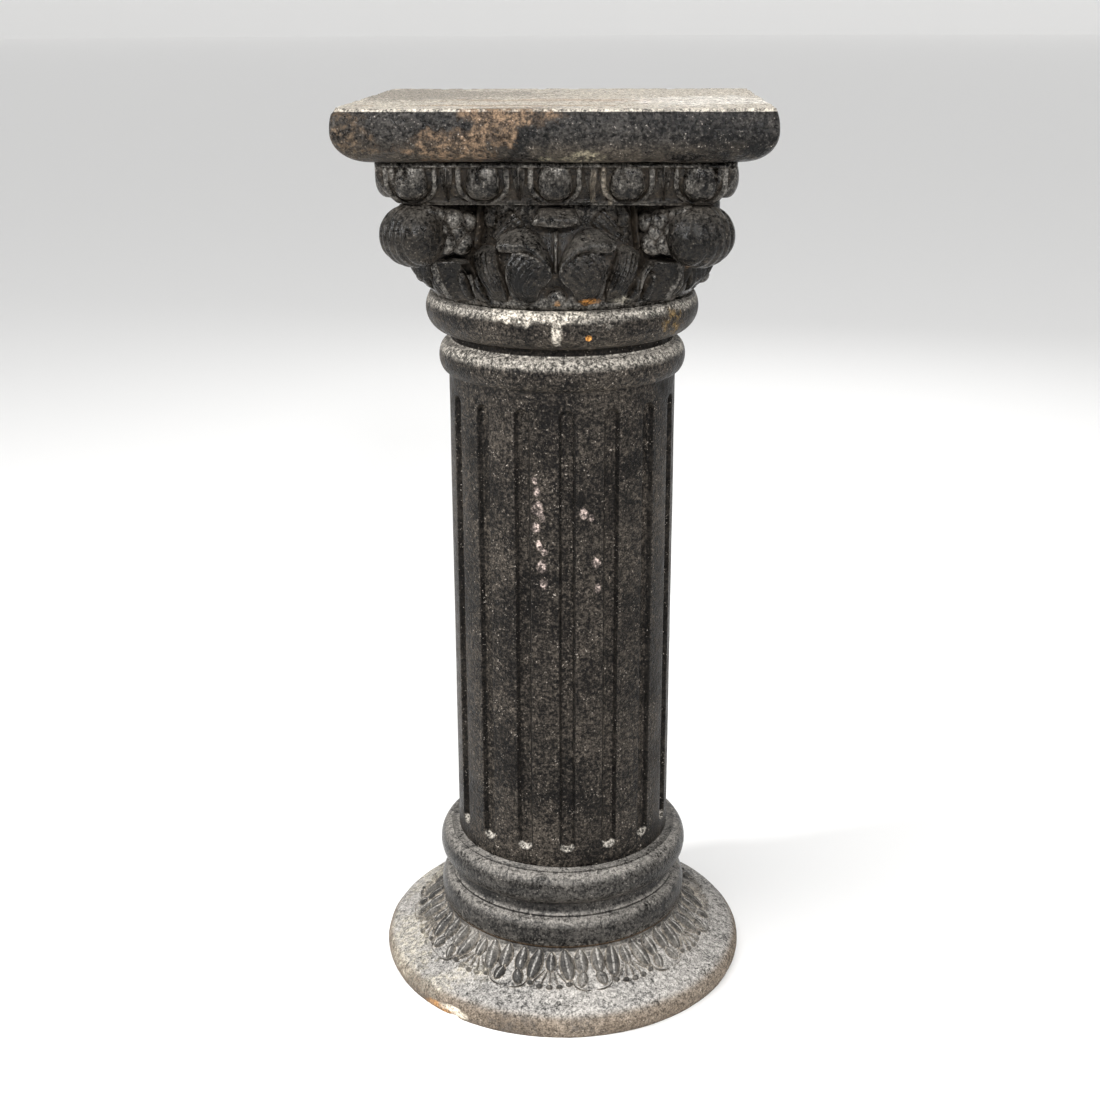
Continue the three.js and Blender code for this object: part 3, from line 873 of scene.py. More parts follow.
@dataclass
class FlutedShaft(Casting):
    """The fluted drum with its two neck rings."""

    radius: float = 0.090
    flutes: int = 16
    flute_width: float = 0.0133
    flute_depth: float = 0.0043
    end_margin: float = 0.014
    turn: float = math.radians(4.7)
    fluted_length: float = 0.398
    lower_ring_height: float = 0.0255
    lower_ring_projection: float = 0.0075
    neck_height: float = 0.007
    neck_inset: float = 0.002
    upper_ring_projection: float = 0.017
    upper_ring_lower_height: float = 0.0187
    upper_ring_top_inset: float = 0.0035

    def profile(self) -> Array:
        """Trace the drum and the rings from the bottom up."""
        floor, top = self.floor(), self.top()
        fluted_top = floor + self.fluted_length
        end = self.end_margin + self.flute_width / 2 + 0.004
        ring_half = self.lower_ring_height / 2
        neck_floor = fluted_top + self.lower_ring_height
        ring_floor = neck_floor + self.neck_height
        widest = ring_floor + self.upper_ring_lower_height
        neck_radius = self.radius - self.neck_inset
        ring_radius = self.radius + self.upper_ring_projection
        way = np.linspace(0.0, 1.0, 9)[1:]
        crown = np.stack([ring_radius - self.upper_ring_top_inset * way ** 2,
            widest + (top - widest) * way], axis=1)
        return np.concatenate([
            line((0.012, floor), (self.radius, floor), 5),
            line((self.radius, floor), (self.radius, floor + end), 28),
            line((self.radius, floor + end), (self.radius, fluted_top - end), 12),
            line((self.radius, fluted_top - end), (self.radius, fluted_top), 28),
            arc(self.radius, fluted_top + ring_half, self.lower_ring_projection, ring_half, -90, 90, 16),
            line((neck_radius, neck_floor + 0.0003), (neck_radius, ring_floor - 0.0003), 5),
            arc(self.radius, widest, self.upper_ring_projection, self.upper_ring_lower_height, -90, 0, 12),
            crown,
            line((ring_radius - self.upper_ring_top_inset - 0.001, top), (0.012, top), 4),
        ])

    def flute_tree(self) -> tuple[bpy.types.NodeTree, dict[str, str]]:
        """Build the node group that sinks the flutes into the turned drum.

        Returns:
            The group, and the identifiers of its inputs by name.
        """
        group = bpy.data.node_groups.new("flutes", "GeometryNodeTree")
        kinds = {
            "Geometry": "NodeSocketGeometry", "Flutes": "NodeSocketFloat", "Width": "NodeSocketFloat",
            "Depth": "NodeSocketFloat", "Turn": "NodeSocketFloat", "Drum radius": "NodeSocketFloat",
            "Middle": "NodeSocketFloat", "Half run": "NodeSocketFloat", "Finish": "NodeSocketMaterial",
        }
        names = {name: group_input(group, name, kind) for name, kind in kinds.items()}
        group.interface.new_socket("Geometry", in_out="OUTPUT", socket_type="NodeSocketGeometry")
        make = Tree(group)
        given = {name: socket for name, socket in make.node("NodeGroupInput").outputs.items()}
        number = {name: Field(make, given[name]) for name in kinds if kinds[name] == "NodeSocketFloat"}
        position = make.node("GeometryNodeInputPosition").outputs[0]
        axes = make.node("ShaderNodeSeparateXYZ", None, Vector=position)
        x, y, z = (Field(make, axes.outputs[name]) for name in "XYZ")
        angle = x.math("ARCTAN2", y * -1.0) - number["Turn"]
        phase = angle * number["Flutes"] / (2 * math.pi)
        across = (phase - phase.math("ROUND")) * (2 * math.pi) * number["Drum radius"] / number["Flutes"]
        past = ((z - number["Middle"]).math("ABSOLUTE") - number["Half run"]).math("MAXIMUM", 0.0)
        away = (across * across + past * past) ** 0.5 / (number["Width"] * 0.5)
        floor = 1.0 - away.ramp(0.62, 1.02)
        sink = floor * number["Depth"] * (1.0 - (away * away) * 0.12)
        radius = (x * x + y * y) ** 0.5
        drum = radius.ramp(0.085, 0.0895) * (z - number["Middle"]).math("ABSOLUTE").ramp(0.2, 0.195)
        share = 1.0 - sink * drum / radius.math("MAXIMUM", 0.001)
        moved = make.node("ShaderNodeCombineXYZ", None, X=x * share, Y=y * share, Z=z)
        shaped = make.node("GeometryNodeSetPosition", None, Geometry=given["Geometry"],
            Position=moved.outputs[0])
        real = make.node("GeometryNodeRealizeInstances", None, Geometry=shaped.outputs[0])
        dressed = make.node("GeometryNodeSetMaterial", None, Geometry=real.outputs[0],
            Material=given["Finish"])
        make.node("NodeGroupOutput", None, Geometry=dressed.outputs[0])
        return group, names

    def build(self) -> None:
        """Turn the drum, sink its flutes and dress it."""
        material = self.finish.material()
        shell = Shell()
        shell.loft(turned(self.profile(), self.flutes * 40))
        blank = shell.object("shaft_blank")
        group, names = self.flute_tree()
        modifier = blank.modifiers.new("flutes", "NODES")
        modifier.node_group = group
        values = {
            "Flutes": float(self.flutes), "Width": self.flute_width, "Depth": self.flute_depth,
            "Turn": self.turn, "Drum radius": self.radius,
            "Middle": self.floor() + self.fluted_length / 2,
            "Half run": self.fluted_length / 2 - self.end_margin - self.flute_width / 2,
            "Finish": material,
        }
        for name, value in values.items():
            modifier[names[name]] = value
        piece = plain_mesh(blank, "shaft_dressed")
        roughen(piece, 0.0004, 0.02, 5.0)
        mark_crests(piece, 6, 0.0008)
        self.mark_flutes(piece)
        self.dress(piece, material)

    def mark_flutes(self, piece: bpy.types.Object) -> None:
        """Mark the flutes' side walls as hollows, where the shaft's finish paints shade."""
        points = points_of(piece)
        inside = np.clip((self.radius - np.hypot(points[:, 0], points[:, 1])) / self.flute_depth, 0.0, 1.0)
        write_mask(piece, Mask.CAVITY, smooth_step(5.0 * inside * (1.0 - inside)))


@dataclass
class BaseMouldings(Casting):
    """The ring of upper torus, scotia and lower torus."""

    joint_radius: float = 0.104
    lower_bulge: float = 0.002
    skirt_height: float = 0.010
    crown_height: float = 0.0145
    crown_width: float = 0.008
    fillet_height: float = 0.002
    fillet_inset: float = 0.001
    scotia_height: float = 0.0122
    scotia_depth: float = 0.003
    torus_height: float = 0.027
    torus_bulge: float = 0.0092
    top_fillet_radius: float = 0.0965

    def profile(self) -> Array:
        """Trace the mouldings from the bottom up."""
        floor, top = self.floor(), self.top()
        crown_floor = floor + self.skirt_height
        crown_inner = self.joint_radius + self.lower_bulge - self.crown_width
        crown_top = crown_floor + self.crown_height
        fillet = crown_inner - self.fillet_inset
        scotia_floor = crown_top + self.fillet_height
        torus_floor = scotia_floor + self.scotia_height
        torus_top = torus_floor + self.torus_height
        way = np.linspace(0.0, 1.0, 6, endpoint=False)
        skirt = np.stack([
            self.joint_radius + self.lower_bulge * (1 - (1 - way) ** 2),
            floor + self.skirt_height * way,
        ], axis=1)
        return np.concatenate([
            line((0.012, floor), (self.joint_radius, floor), 4),
            skirt,
            arc(crown_inner, crown_floor, self.crown_width, self.crown_height, 0, 90, 14),
            line((fillet, crown_top), (fillet, scotia_floor), 3),
            arc(fillet, (scotia_floor + torus_floor) / 2, self.scotia_depth, self.scotia_height / 2, 270,
                90, 14),
            arc(fillet, (torus_floor + torus_top) / 2, self.torus_bulge, self.torus_height / 2, -88, 88, 24),
            line((self.top_fillet_radius, torus_top), (self.top_fillet_radius, top), 3),
            line((self.top_fillet_radius, top), (0.012, top), 5),
        ])

    def build(self) -> None:
        """Turn the mouldings and dress them."""
        shell = Shell()
        shell.loft(turned(self.profile(), 420))
        piece = shell.object("base_mouldings_dressed")
        roughen(piece, 0.0006, 0.03, 11.0)
        mark_cavities(piece, 0.012, 10)
        mark_crests(piece, 10, 0.0006)
        self.dress(piece, self.finish.material())


@dataclass
class Leaf:
    """A leaf or lobe that lies on a surface, its ends rounded.

    The line's places are sideways angle in degrees, height above the casting's underside, and
    how far the leaf's middle stands out.
    """

    line: tuple[tuple[float, float, float], ...]
    half_width: float
    thickness: float
    ribs: float = 0.0
    rib_depth: float = 0.0
    groove: float = 0.0
    hollow: float = 0.0
    start_share: float = 0.55
    end_share: float = 0.9
    sunk: float = 0.006
    lobes: int = 0
    along: int = 26
    across: int = 16

    def mirrored(self) -> "Leaf":
        """Give the same leaf on the other side of the middle line."""
        flipped = tuple((-angle, height, out) for angle, height, out in self.line)
        return Leaf(**{**self.__dict__, "line": flipped})

    def middle(self, way: Array) -> Array:
        """Follow the leaf's middle line as a Bezier curve of its places.

        Args:
            way: shares of the way along.

        Returns:
            Angle, height and out at each share.
        """
        places = np.array(self.line)
        order = len(places) - 1
        weights = [math.comb(order, i) * way ** i * (1 - way) ** (order - i) for i in range(order + 1)]
        return np.einsum("in,ij->nj", np.array(weights), places)

    def widths(self, way: Array) -> Array:
        """Give the leaf's half width along its line."""
        ends = np.sin(math.pi * np.clip(way, 0.0, 1.0)) ** 0.5
        taper = self.start_share + (1 - self.start_share) * smooth_step(way / 0.5)
        taper *= 1 - (1 - self.end_share) * smooth_step((way - 0.5) / 0.5)
        scallop = 1 + 0.09 * np.cos(2 * math.pi * self.lobes * way) if self.lobes else 1.0
        return self.half_width * ends * taper * scallop

    def section(self, way: float, half: float) -> Array:
        """Trace the leaf's cross-section as sideways and outward distances.

        Args:
            way: share of the way along.
            half: half width there.

        Returns:
            The ring, from the left edge over the top and back underneath.
        """
        side = np.linspace(-1.0, 1.0, self.across + 1)
        rise = math.sin(math.pi * way) ** 0.45
        dome = (1 - np.abs(side) ** 2.6) * self.thickness
        ribbing = self.rib_depth * np.cos(math.pi * self.ribs * side) * (1 - np.abs(side) ** 6)
        vein = self.groove * np.exp(-(side / 0.16) ** 2)
        dish = self.hollow * np.clip(1 - (side / 0.68) ** 2, 0, 1) ** 0.6
        dish = dish * max(0.0, math.sin(math.pi * way)) ** 0.5
        lift = (dome + ribbing - vein - dish) * rise - 0.0012
        over = np.stack([side * half, lift], axis=1)
        under = np.array([[0.7 * half, -self.sunk], [-0.7 * half, -self.sunk]])
        return np.concatenate([over, under])

    def lay(self, shell: Shell, place: Callable[[Array], Array]) -> None:
        """Add the leaf to a shell.

        Args:
            shell: the shell.
            place: gives points of space for rows of angle, height and out.
        """
        way = np.linspace(0.012, 0.988, self.along)
        spots = self.middle(way)
        centres = place(spots)
        outward = place(spots + np.array([0.0, 0.0, 0.001])) - centres
        outward /= np.linalg.norm(outward, axis=1, keepdims=True)
        run = np.gradient(centres, axis=0)
        sideways = np.cross(run, outward)
        sideways /= np.linalg.norm(sideways, axis=1, keepdims=True)
        widths = self.widths(way)
        rings = [
            centres[i] + self.section(way[i], widths[i]) @ np.stack([sideways[i], outward[i]])
            for i in range(len(way))
        ]
        shell.loft(np.stack(rings))


def through(places: Array, way: Array) -> Array:
    """Run a smooth curve through places spaced evenly along it.

    Args:
        places: n by any number of values.
        way: shares of the way along.

    Returns:
        The curve's values at each share.
    """
    ends = np.concatenate([[2 * places[0] - places[1]], places, [2 * places[-1] - places[-2]]])
    run = np.clip(way, 0.0, 1.0) * (len(places) - 1)
    start = np.minimum(run.astype(int), len(places) - 2)
    t = (run - start)[:, None]
    before, here, ahead, beyond = (ends[start + step] for step in range(4))
    return 0.5 * (2 * here + (ahead - before) * t + (2 * before - 5 * here + 4 * ahead - beyond) * t ** 2
                  + (3 * here - before - 3 * ahead + beyond) * t ** 3)


Guide = tuple[tuple[float, float, float], ...]


@dataclass
class Lobe:
    """A carved form between three guides that run along it: one edge, the middle and the other edge.

    A guide's places are sideways angle in degrees, height above the casting's underside in
    millimetres, and how far the form stands out there in millimetres.
    """

    first: Guide
    middle: Guide
    last: Guide
    ribs: float = 0.0
    rib_depth: float = 0.0
    rib_end: float = 1.0
    round_end: float = 0.12
    dish: float = 0.0
    dish_start: float = 0.6
    rim: float = 0.0
    root: float = 4.0
    along: int = 30
    across: int = 22

    def mirrored(self) -> "Lobe":
        """Give the same form on the other side of the middle line."""
        guides = {
            name: tuple((-angle, height, out) for angle, height, out in getattr(self, name))
            for name in ("first", "middle", "last")
        }
        return Lobe(**{**self.__dict__, **guides})

    def relief(self, way: Array, side: Array) -> Array:
        """Work out the fine carving on top of the guides' form.

        Args:
            way: shares along, one per row.
            side: shares across, -1 to 1.

        Returns:
            Heights in millimetres, rows by columns.
        """
        ends = np.sin(math.pi * np.clip(way, 0.0, 1.0)) ** 0.4
        held = 1 - smooth_step((way - self.rib_end + 0.15) / 0.15) if self.rib_end < 1 else np.ones(len(way))
        ribbing = 0.0 * side
        if self.ribs:
            ribbing = np.abs(np.sin(math.pi * self.ribs * (side + 1) / 2)) ** 0.7 - 1.0
        inside = 1 - np.abs(side) ** 8
        dish = smooth_step((way - self.dish_start) / 0.15) * (1 - smooth_step((way - 0.86) / 0.12))
        bowl = np.clip(1 - (side / 0.7) ** 2, 0, 1) ** 0.7
        rim = np.exp(-((np.abs(side) - 0.86) / 0.09) ** 2)
        return (
            self.rib_depth * (ends * held)[:, None] * (ribbing * inside)[None]
            - self.dish * dish[:, None] * bowl[None]
            + self.rim * ends[:, None] * rim[None]
        )

    def lay(self, shell: Shell, place: Callable[[Array], Array]) -> None:
        """Add the form to a shell.

        Args:
            shell: the shell.
            place: gives points of space for rows of angle, height and out, in degrees and metres.
        """
        way = np.linspace(0.0, 1.0, self.along)
        turns = np.linspace(-math.pi / 2, math.pi / 2, self.across + 1)
        side = np.sin(turns * 0.85) / math.sin(math.pi / 2 * 0.85)
        guides = [through(np.array(guide), way) for guide in (self.first, self.middle, self.last)]
        t = side[None, :, None]
        first, middle, last = (guide[:, None, :] for guide in guides)
        form = first * t * (t - 1) / 2 + middle * (1 - t * t) + last * t * (t + 1) / 2
        form[:, :, 2] += self.relief(way, side)
        edge = 1 - smooth_step(way / self.round_end)
        edge = edge + smooth_step((way - 1 + self.round_end) / self.round_end)
        form[:, :, 2] -= (form[:, :, 2] + 1.0) * (edge ** 2)[:, None]
        form[:, 0, 2] = form[:, -1, 2] = -0.6
        under = form[:, -2:0:-4].copy()
        under[:, :, 2] = -self.root
        rings = np.concatenate([form, under], axis=1)
        rings[:, :, 1:] *= 0.001
        shell.loft(np.stack([place(ring) for ring in rings]))


@dataclass
class Capital(Casting):
    """The capital: bell, leaves, corner volutes and the square egg-and-dart member."""

    bell_height: float = 0.076
    bell_foot_radius: float = 0.102
    bell_swell: float = 0.007
    plate_height: float = 0.0025
    ovolo_height: float = 0.026
    ovolo_foot_half: float = 0.113
    ovolo_projection: float = 0.014
    ovolo_corner: float = 0.012
    eggs_per_side: int = 5
    egg_pitch: float = 0.0505
    egg_width: float = 0.0265
    egg_fullness: float = 0.6
    egg_height: float = 0.030
    egg_depth: float = 0.012
    egg_projection: float = 0.002
    egg_foot_clearance: float = 0.002
    dart_width: float = 0.010
    volute_radius: float = 0.023
    volute_width: float = 0.048
    volute_reach: float = 0.145
    volute_drop: float = 0.022
    volute_rib_reach: float = 0.0135
    volute_rib_pitch: float = 0.0072
    volute_rib_sink: float = 0.0015
    stem_width: float = 0.036
    ground_sink: float = 0.0042
    cluster: tuple[tuple[float, float, float], ...] = (
        (0.1080, 0.0085, 0.0085), (0.1225, 0.0110, 0.0090), (0.1130, -0.0070, 0.0088),
        (0.1275, -0.0060, 0.0080),
        (0.1190, 0.0015, 0.0080), (0.1345, 0.0040, 0.0072),
    )

    def bell_radius(self, height: Array) -> Array:
        """Give the bell's radius at heights above the capital's underside."""
        share = np.clip(np.asarray(height) / self.bell_height, 0.0, 1.0)
        return self.bell_foot_radius + self.bell_swell * np.sin(math.pi * np.minimum(1.0, share * 1.35))

    def on_bell(self, spots: Array) -> Array:
        """Place rows of angle in degrees, height and out on the bell, the front side at angle 0."""
        angle = np.radians(spots[:, 0] - 90.0)
        radius = self.bell_radius(spots[:, 1]) + spots[:, 2]
        return np.stack([radius * np.cos(angle), radius * np.sin(angle), self.floor() + spots[:, 1]], axis=1)

    def ovolo_half(self, share: Array) -> Array:
        """Give the egg-and-dart member's half side by the share of its height."""
        swell = np.sin(math.pi / 2 * np.minimum(1.0, share * 1.1))
        return self.ovolo_foot_half + self.ovolo_projection * swell

    def ground_half(self, share: Array) -> Array:
        """Give the half side of the sunk ground behind the eggs by the share of its height."""
        sunk = smooth_step(share / 0.10) * (1 - smooth_step((share - 0.90) / 0.08))
        return self.ovolo_half(share) - self.ground_sink * sunk

    def plate_floor(self) -> float:
        """Give the height of the plate between the bell and the ovolo."""
        return self.floor() + self.bell_height

    def ovolo_floor(self) -> float:
        """Give the height where the ovolo starts."""
        return self.plate_floor() + self.plate_height

    def build_body(self) -> bpy.types.Object:
        """Build the bell and the square member without their ornament.

        Returns:
            The mesh object.
        """
        shell = Shell()
        heights = np.linspace(0.0, self.bell_height + 0.001, 20)
        profile = np.stack([self.bell_radius(heights), self.floor() + heights], axis=1)
        shell.loft(turned(profile, 128))
        plate_half = self.ovolo_foot_half - 0.002
        shares = np.concatenate([np.linspace(0.0, 0.12, 4), np.linspace(0.22, 0.82, 6),
            np.linspace(0.90, 1.0, 5)])
        sides = [plate_half - 0.001, plate_half, plate_half, *self.ground_half(shares),
            self.ovolo_half(np.array(1.0))]
        levels = [
            self.plate_floor(), self.plate_floor() + 0.0006, self.ovolo_floor() - 0.0004,
            *(self.ovolo_floor() + self.ovolo_height * shares), self.top(),
        ]
        rings = []
        for half, level in zip(sides, levels):
            ring = rounded_square(float(half), self.ovolo_corner, 30, 8)
            rings.append(np.column_stack([ring, np.full(len(ring), level)]))
        shell.loft(np.stack(rings))
        return shell.object("capital_body")

    def on_ovolo(self, spots: Array) -> Array:
        """Place rows of sideways, height above the ovolo's foot and out on its front side."""
        slope = math.pi / 2 * 1.1
        share = np.clip(spots[:, 1] / self.ovolo_height, 0.0, 1.0)
        bend = np.cos(np.minimum(slope * share, math.pi / 2))
        lean = self.ovolo_projection * slope / self.ovolo_height * bend
        steady = np.sqrt(1 + lean ** 2)
        level = self.ovolo_floor() + spots[:, 1] - spots[:, 2] * lean / steady
        reach = self.ovolo_half(share) - self.ground_sink + spots[:, 2] / steady
        return np.stack([spots[:, 0], -reach, np.minimum(level, self.ovolo_floor() + self.ovolo_height)],
            axis=1)

    def egg_and_cup(self) -> bpy.types.Object:
        """Build one egg with the cup that holds it, in the middle of the front side.

        Returns:
            The mesh object.
        """
        shell = Shell()
        half_height = self.egg_height / 2
        middle = self.ovolo_half(np.array(1.0)) + self.egg_projection - self.egg_depth
        rise = self.egg_foot_clearance + half_height
        cut = math.asin((self.ovolo_height - rise) / half_height)
        around = np.linspace(0, 2 * math.pi, 26, endpoint=False)
        rings = []
        for turn in np.linspace(-math.pi / 2 + 0.08, cut, 14):
            girth = math.cos(turn) ** self.egg_fullness
            rings.append(np.stack([
                self.egg_width / 2 * girth * np.cos(around),
                -middle + self.egg_depth * girth * np.sin(around),
                np.full(26, self.ovolo_floor() + rise + half_height * math.sin(turn)),
            ], axis=1))
        shell.loft(np.stack(rings))
        shell.loft(self.cup_rings())
        return shell.object("egg_and_cup")

    def cup_rings(self) -> Array:
        """Trace the cup round an egg: a band, broad at both sides and thin under the egg.

        Returns:
            Rings along the band, for a loft.
        """
        top, bend = self.ovolo_height, 0.0145
        angles = np.linspace(-math.pi, 0, 21)
        thin = np.abs(np.cos(angles)) ** 1.4
        half = np.concatenate([[0.0024] * 3, 0.0010 + 0.0014 * thin, [0.0024] * 3])
        inner = self.egg_width / 2 + 0.0012
        bow_x, bow_z = (inner + 0.0024) * np.cos(angles), bend + (bend - 0.0006) * np.sin(angles)
        rise = np.linspace(top, bend, 3, endpoint=False)
        x = np.concatenate([[-inner - 0.0024] * 3, bow_x, [inner + 0.0024] * 3])
        z = np.concatenate([rise, bow_z, rise[::-1]])
        run = np.gradient(np.stack([x, z], axis=1), axis=0)
        run /= np.linalg.norm(run, axis=1, keepdims=True)
        across = np.stack([-run[:, 1], run[:, 0]], axis=1)
        sides = np.array([-1.0, -0.86, -0.35, 0.35, 0.86, 1.0, 0.9, -0.9])
        outs = np.array([-0.0004, 0.0028, 0.0036, 0.0036, 0.0028, -0.0004, -0.004, -0.004])
        rings = []
        for i in range(len(x)):
            spots = np.column_stack([
                x[i] + across[i, 0] * sides * half[i], z[i] + across[i, 1] * sides * half[i], outs,
            ])
            rings.append(self.on_ovolo(spots))
        return np.stack(rings)

    def dart(self, place: Callable[[Array], Array], width: float) -> bpy.types.Object:
        """Build one dart: a ridge between two facets that narrows to a point below.

        Args:
            place: gives points of space for sideways, height and out.
            width: width at the top.

        Returns:
            The mesh object.
        """
        shell = Shell()
        sides = np.array([-1.0, -0.9, -0.5, -0.08, 0.0, 0.08, 0.5, 0.9, 1.0, 0.5, -0.5])
        outs = np.array([-0.4, 1.8, 2.6, 4.3, 4.6, 4.3, 2.6, 1.8, -0.4, -4.0, -4.0]) / 1000
        rings = []
        for share in np.linspace(0.05, 1.0, 9):
            half = width / 2 * min(1.0, 0.1 + share * 1.15) ** 0.8
            level = np.full(len(sides), self.ovolo_height * share)
            rings.append(place(np.column_stack([sides * half, level, outs * min(1.0, 0.4 + share)])))
        shell.loft(np.stack(rings))
        return shell.object("dart")

    def on_ovolo_corner(self, spots: Array) -> Array:
        """Place rows of sideways, height and out on the ovolo's corner at the front right."""
        share = np.clip(spots[:, 1] / self.ovolo_height, 0.0, 1.0)
        reach = (self.ovolo_half(share) - self.ovolo_corner) * math.sqrt(2)
        reach = reach + self.ovolo_corner + spots[:, 2] - 0.002
        along, over = np.array([math.sqrt(0.5), -math.sqrt(0.5)]), np.array([math.sqrt(0.5), math.sqrt(0.5)])
        back = np.abs(spots[:, 0])[:, None] * 0.55
        flat = (reach[:, None] - back) * along + spots[:, :1] * over
        return np.column_stack([flat, self.ovolo_floor() + spots[:, 1]])

    def half_side_lobes(self) -> list[Lobe]:
        """List the carved forms right of a side's middle line; the left ones mirror them."""
        return [
            Lobe(  # shell lobe that hangs under the turned-over leaf
                ((0.6, 29.0, 9.0), (2.8, 21.5, 8.0), (6.0, 15.0, 6.0), (8.0, 6.5, 2.0)),
                ((4.2, 41.0, 11.6), (10.6, 29.0, 12.0), (13.0, 16.5, 9.4), (9.4, 5.4, 2.4)),
                ((14.8, 46.8, 10.6), (18.0, 31.0, 8.0), (16.0, 13.5, 6.0), (10.8, 4.4, 1.8)),
                ribs=7, rib_depth=1.6, along=36, across=40, root=5.0, round_end=0.07,
            ),
            Lobe(  # its outer rim
                ((11.6, 44.0, 3.0), (16.4, 31.0, 3.0), (15.3, 13.0, 2.2), (9.6, 3.6, 1.2)),
                ((13.2, 45.0, 5.0), (18.0, 31.0, 5.0), (16.6, 11.5, 4.0), (10.6, 2.7, 2.0)),
                ((14.6, 46.0, 3.0), (19.2, 31.0, 3.0), (17.9, 10.5, 2.2), (11.4, 1.9, 1.2)),
                along=26, across=6,
            ),
            Lobe(  # turned-over leaf, dipping to the middle
                ((25.5, 53.0, 0.5), (16.5, 59.5, 1.0), (8.5, 57.0, 2.0), (3.2, 45.0, 2.0), (0.2, 32.0, 2.0)),
                ((24.4, 48.0, 8.5), (16.0, 50.5, 13.5), (8.6, 48.5, 14.0), (3.8, 40.0, 12.5),
                    (0.7, 29.5, 10.5)),
                ((23.0, 42.0, 4.0), (16.2, 42.0, 8.5), (10.0, 43.0, 9.0), (5.4, 36.0, 9.0), (1.6, 26.5, 8.0)),
                along=34, across=12, root=5.0, round_end=0.08,
            ),
            Lobe(  # slanting ribbed leaf with a cupped tip
                ((24.2, 46.0, 3.0), (21.4, 31.0, 5.5), (18.8, 17.0, 5.0), (19.6, 4.4, 1.5)),
                ((29.0, 47.0, 6.5), (25.8, 30.0, 10.5), (22.3, 15.0, 10.0), (22.0, 3.4, 2.0)),
                ((34.0, 43.0, 3.0), (30.6, 27.0, 4.5), (26.8, 14.0, 4.5), (24.8, 4.4, 1.5)),
                ribs=5, rib_depth=2.3, rib_end=0.74, dish=2.6, dish_start=0.64, rim=0.9,
                along=34, across=34, root=5.0, round_end=0.14,
            ),
            Lobe(  # ribbed stem above it
                ((12.8, 63.0, 0.5), (17.0, 55.0, 1.5), (22.5, 48.0, 1.5)),
                ((15.8, 69.0, 2.5), (20.8, 60.0, 5.0), (26.0, 50.0, 3.5)),
                ((19.0, 73.5, 0.5), (24.0, 65.0, 1.5), (29.0, 53.0, 0.5)),
                ribs=4, rib_depth=1.4, along=18, across=22,
            ),
            Lobe(  # plain oval leaf beside the stem
                ((24.6, 58.0, 0.5), (25.0, 67.0, 1.0), (23.6, 75.0, 0.5)),
                ((27.6, 57.0, 2.5), (28.2, 67.0, 5.0), (26.8, 75.5, 3.0)),
                ((30.4, 58.0, 0.5), (31.2, 67.0, 1.0), (29.6, 75.0, 0.5)),
                along=12, across=9,
            ),
            Lobe(  # upright fillet before the volute
                ((31.6, 42.0, 1.0), (31.8, 58.0, 1.0), (31.0, 75.5, 1.0)),
                ((32.6, 42.0, 5.0), (32.8, 58.0, 5.5), (32.0, 75.5, 5.0)),
                ((33.4, 42.0, 1.0), (33.6, 58.0, 1.0), (32.8, 75.5, 1.0)),
                along=10, across=6,
            ),
            Lobe(  # small leaf between the slanting leaf and the corner leaf
                ((27.6, 3.5, 0.5), (29.4, 12.0, 1.5), (32.0, 24.0, 0.5)),
                ((29.6, 2.5, 2.0), (31.8, 11.0, 5.5), (34.4, 24.0, 3.0)),
                ((32.6, 2.5, 0.5), (34.6, 10.0, 1.5), (36.6, 23.0, 0.5)),
                ribs=2, rib_depth=0.8, along=16, across=12,
            ),
            Lobe(  # half of the corner leaf, scooped out
                ((33.6, 2.5, 1.0), (32.6, 13.0, 6.0), (33.2, 25.0, 9.5), (36.4, 34.0, 12.0)),
                ((38.2, 1.5, 0.5), (38.0, 13.0, 0.5), (38.4, 24.0, 1.5), (40.0, 36.0, 9.0)),
                ((45.4, 1.0, 5.0), (45.4, 12.0, 12.0), (45.4, 24.0, 17.0), (45.4, 37.0, 22.0)),
                rim=1.5, along=30, across=24, root=5.0,
            ),
            Lobe(  # boss in the scoop
                ((35.4, 6.0, 0.5), (35.0, 15.0, 1.5), (35.8, 25.0, 2.5)),
                ((37.4, 4.0, 4.0), (37.2, 14.5, 8.5), (38.0, 27.0, 8.0)),
                ((39.6, 6.0, 0.5), (39.6, 15.0, 1.5), (40.0, 25.0, 2.5)),
                along=16, across=10,
            ),
        ]

    def middle_lobes(self) -> list[Lobe]:
        """List the carved forms on a side's middle line and on the corner to its right."""
        return [
            Lobe(  # fleuron under the ovolo
                ((-7.5, 74.0, 1.0), (0.0, 75.0, 3.0), (7.5, 74.0, 1.0)),
                ((-9.6, 67.0, 9.0), (0.0, 67.5, 13.5), (9.6, 67.0, 9.0)),
                ((-10.5, 61.5, 6.0), (0.0, 60.0, 11.0), (10.5, 61.5, 6.0)),
                along=22, across=11, root=5.0,
            ),
            Lobe(  # upright rib in the dark hollow
                ((-1.2, 58.0, 0.5), (-1.2, 44.0, 0.5), (-1.0, 27.0, 1.0)),
                ((0.0, 59.0, 3.0), (0.0, 44.0, 4.0), (0.0, 27.0, 5.0)),
                ((1.2, 58.0, 0.5), (1.2, 44.0, 0.5), (1.0, 27.0, 1.0)),
                along=10, across=5,
            ),
            Lobe(  # midrib of the corner leaf
                ((44.0, 1.0, 4.0), (44.0, 12.0, 11.0), (44.0, 24.0, 16.0), (44.0, 37.0, 20.0)),
                ((45.0, 1.0, 7.5), (45.0, 12.0, 14.5), (45.0, 24.0, 19.5), (45.0, 37.0, 23.0)),
                ((46.0, 1.0, 4.0), (46.0, 12.0, 11.0), (46.0, 24.0, 16.0), (46.0, 37.0, 20.0)),
                along=16, across=6, root=5.0,
            ),
        ]

